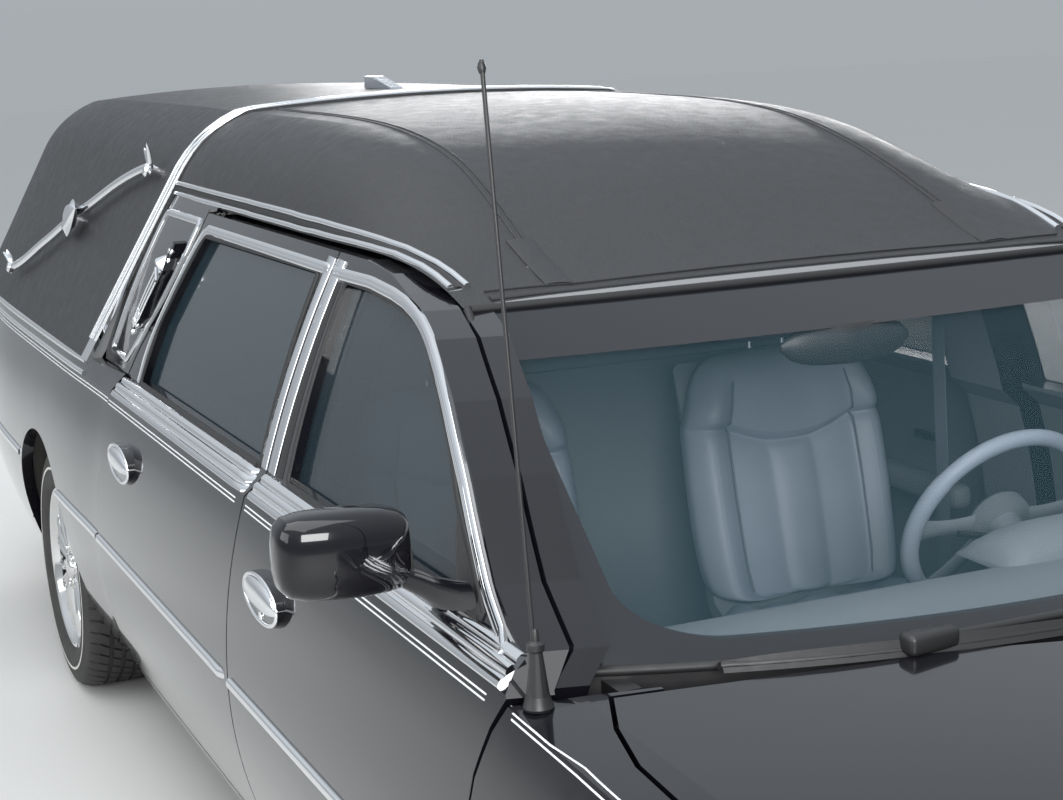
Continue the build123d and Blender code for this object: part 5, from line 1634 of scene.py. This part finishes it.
class CAR_OT_studio(bpy.types.Operator):
    """Sets the pale floor, the soft lamps, the sky and the camera"""

    bl_idname = "car.studio"
    bl_label = "Studio"

    def lamp(self, name, power, size, place, target):
        bpy.ops.object.light_add(type="AREA", location=place)
        lamp = bpy.context.object
        lamp.name = name
        lamp.data.shape = "RECTANGLE"
        lamp.data.size, lamp.data.size_y = size
        lamp.data.energy = power
        lamp.rotation_euler = (Vector(target) - Vector(place)).to_track_quat("-Z", "Y").to_euler()

    def execute(self, context):
        room = context.scene.studio
        clear_selection()
        floor = Finish("floor", "Studio Floor", tuple(room.floor), 0.75).wear(0.6, 0.08, 0.7)
        bpy.ops.mesh.primitive_plane_add(size=90, location=(0, 0, 0))
        ground = bpy.context.object
        ground.name = "studio_floor"
        ground.data.materials.append(floor.material)

        world = bpy.data.worlds.new("Studio Sky")
        context.scene.world = world
        world.use_nodes = True
        tree = world.node_tree
        back = tree.nodes["Background"]
        rays = tree.nodes.new("ShaderNodeLightPath")
        seen = Wire(tree, rays.outputs["Is Camera Ray"]).larger(Wire(tree, rays.outputs["Is Glossy Ray"]))
        seen = seen.larger(Wire(tree, rays.outputs["Is Transmission Ray"]))
        level = tree.nodes.new("ShaderNodeTexCoord")
        split = tree.nodes.new("ShaderNodeSeparateXYZ")
        tree.links.new(level.outputs["Generated"], split.inputs[0])
        height = Wire(tree, split.outputs["Z"]).larger(0)
        bright = height * 0.7 + 0.44
        tree.links.new((seen * (bright - 0.62) + 0.62).socket, back.inputs["Strength"])
        back.inputs["Color"].default_value = (0.88, 0.94, 1, 1)

        self.lamp("key_lamp", room.key_power, (7, 5), (1.5, -2.5, 6.2), (0, 0, 0.8))
        self.lamp("side_lamp", room.side_power, (6, 3), (1.0, -7.5, 3.2), (0, -0.6, 0.8))
        self.lamp("front_lamp", room.side_power * 2, (3, 2), (6.5, -2.2, 3.0), (0.8, -0.1, 1.0))
        self.lamp("rear_lamp", room.key_power * 1.7, (5, 2), (-8.0, 4.5, 2.7), (0, 0, 1.2))

        bpy.ops.object.camera_add(location=(4.0091, -1.8073, 1.86))
        camera = bpy.context.object
        camera.name = "photo_camera"
        yaw, pitch, roll = math.radians(156.658), math.radians(-11.169), math.radians(-2.35)
        look = Vector((math.cos(yaw) * math.cos(pitch), math.sin(yaw) * math.cos(pitch), math.sin(pitch)))
        turn = look.to_track_quat("-Z", "Y").to_matrix() @ Matrix.Rotation(roll, 3, "Z")
        camera.rotation_euler = turn.to_euler()
        camera.data.sensor_width = 36
        camera.data.lens = room.lens
        camera.data.clip_end = 200
        context.scene.camera = camera
        context.scene.view_settings.view_transform = "Standard"
        return {"FINISHED"}


STEPS = (
    "finishes", "body", "studio", "roof_trim", "window_trim", "side_trim", "landau_bars", "coach_lamps", "handles",
    "mirrors", "screen", "wheels", "front_end", "rear_end", "seats", "cabin",
)


class CAR_PT_panel(bpy.types.Panel):
    """Lists the steps that dress the car and their settings"""

    bl_idname = "CAR_PT_panel"
    bl_label = "Funeral Car"
    bl_space_type = "VIEW_3D"
    bl_region_type = "UI"
    bl_category = "Funeral Car"

    def draw(self, context):
        layout = self.layout
        for group in (context.scene.car_finishes, context.scene.car_trim, context.scene.studio):
            box = layout.box()
            for name in group.bl_rna.properties.keys():
                if name not in ("rna_type", "name"):
                    box.prop(group, name)
        for step in STEPS:
            layout.operator(f"car.{step}")


CLASSES = (
    CarFinishes, CarTrim, Studio, CAR_OT_finishes, CAR_OT_body, CAR_OT_roof_trim, CAR_OT_window_trim,
    CAR_OT_side_trim, CAR_OT_landau_bars, CAR_OT_coach_lamps, CAR_OT_handles, CAR_OT_mirrors, CAR_OT_screen,
    CAR_OT_wheels, CAR_OT_front_end, CAR_OT_rear_end, CAR_OT_seats, CAR_OT_cabin, CAR_OT_studio, CAR_PT_panel,
)


def register():
    for kind in CLASSES:
        bpy.utils.register_class(kind)
    bpy.types.Scene.car_finishes = bpy.props.PointerProperty(type=CarFinishes)
    bpy.types.Scene.car_trim = bpy.props.PointerProperty(type=CarTrim)
    bpy.types.Scene.studio = bpy.props.PointerProperty(type=Studio)


def unregister():
    del bpy.types.Scene.studio
    del bpy.types.Scene.car_trim
    del bpy.types.Scene.car_finishes
    for kind in reversed(CLASSES):
        bpy.utils.unregister_class(kind)


def main():
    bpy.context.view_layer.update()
    register()
    for step in STEPS:
        getattr(bpy.ops.car, step)()


if __name__ == "__main__":
    main()
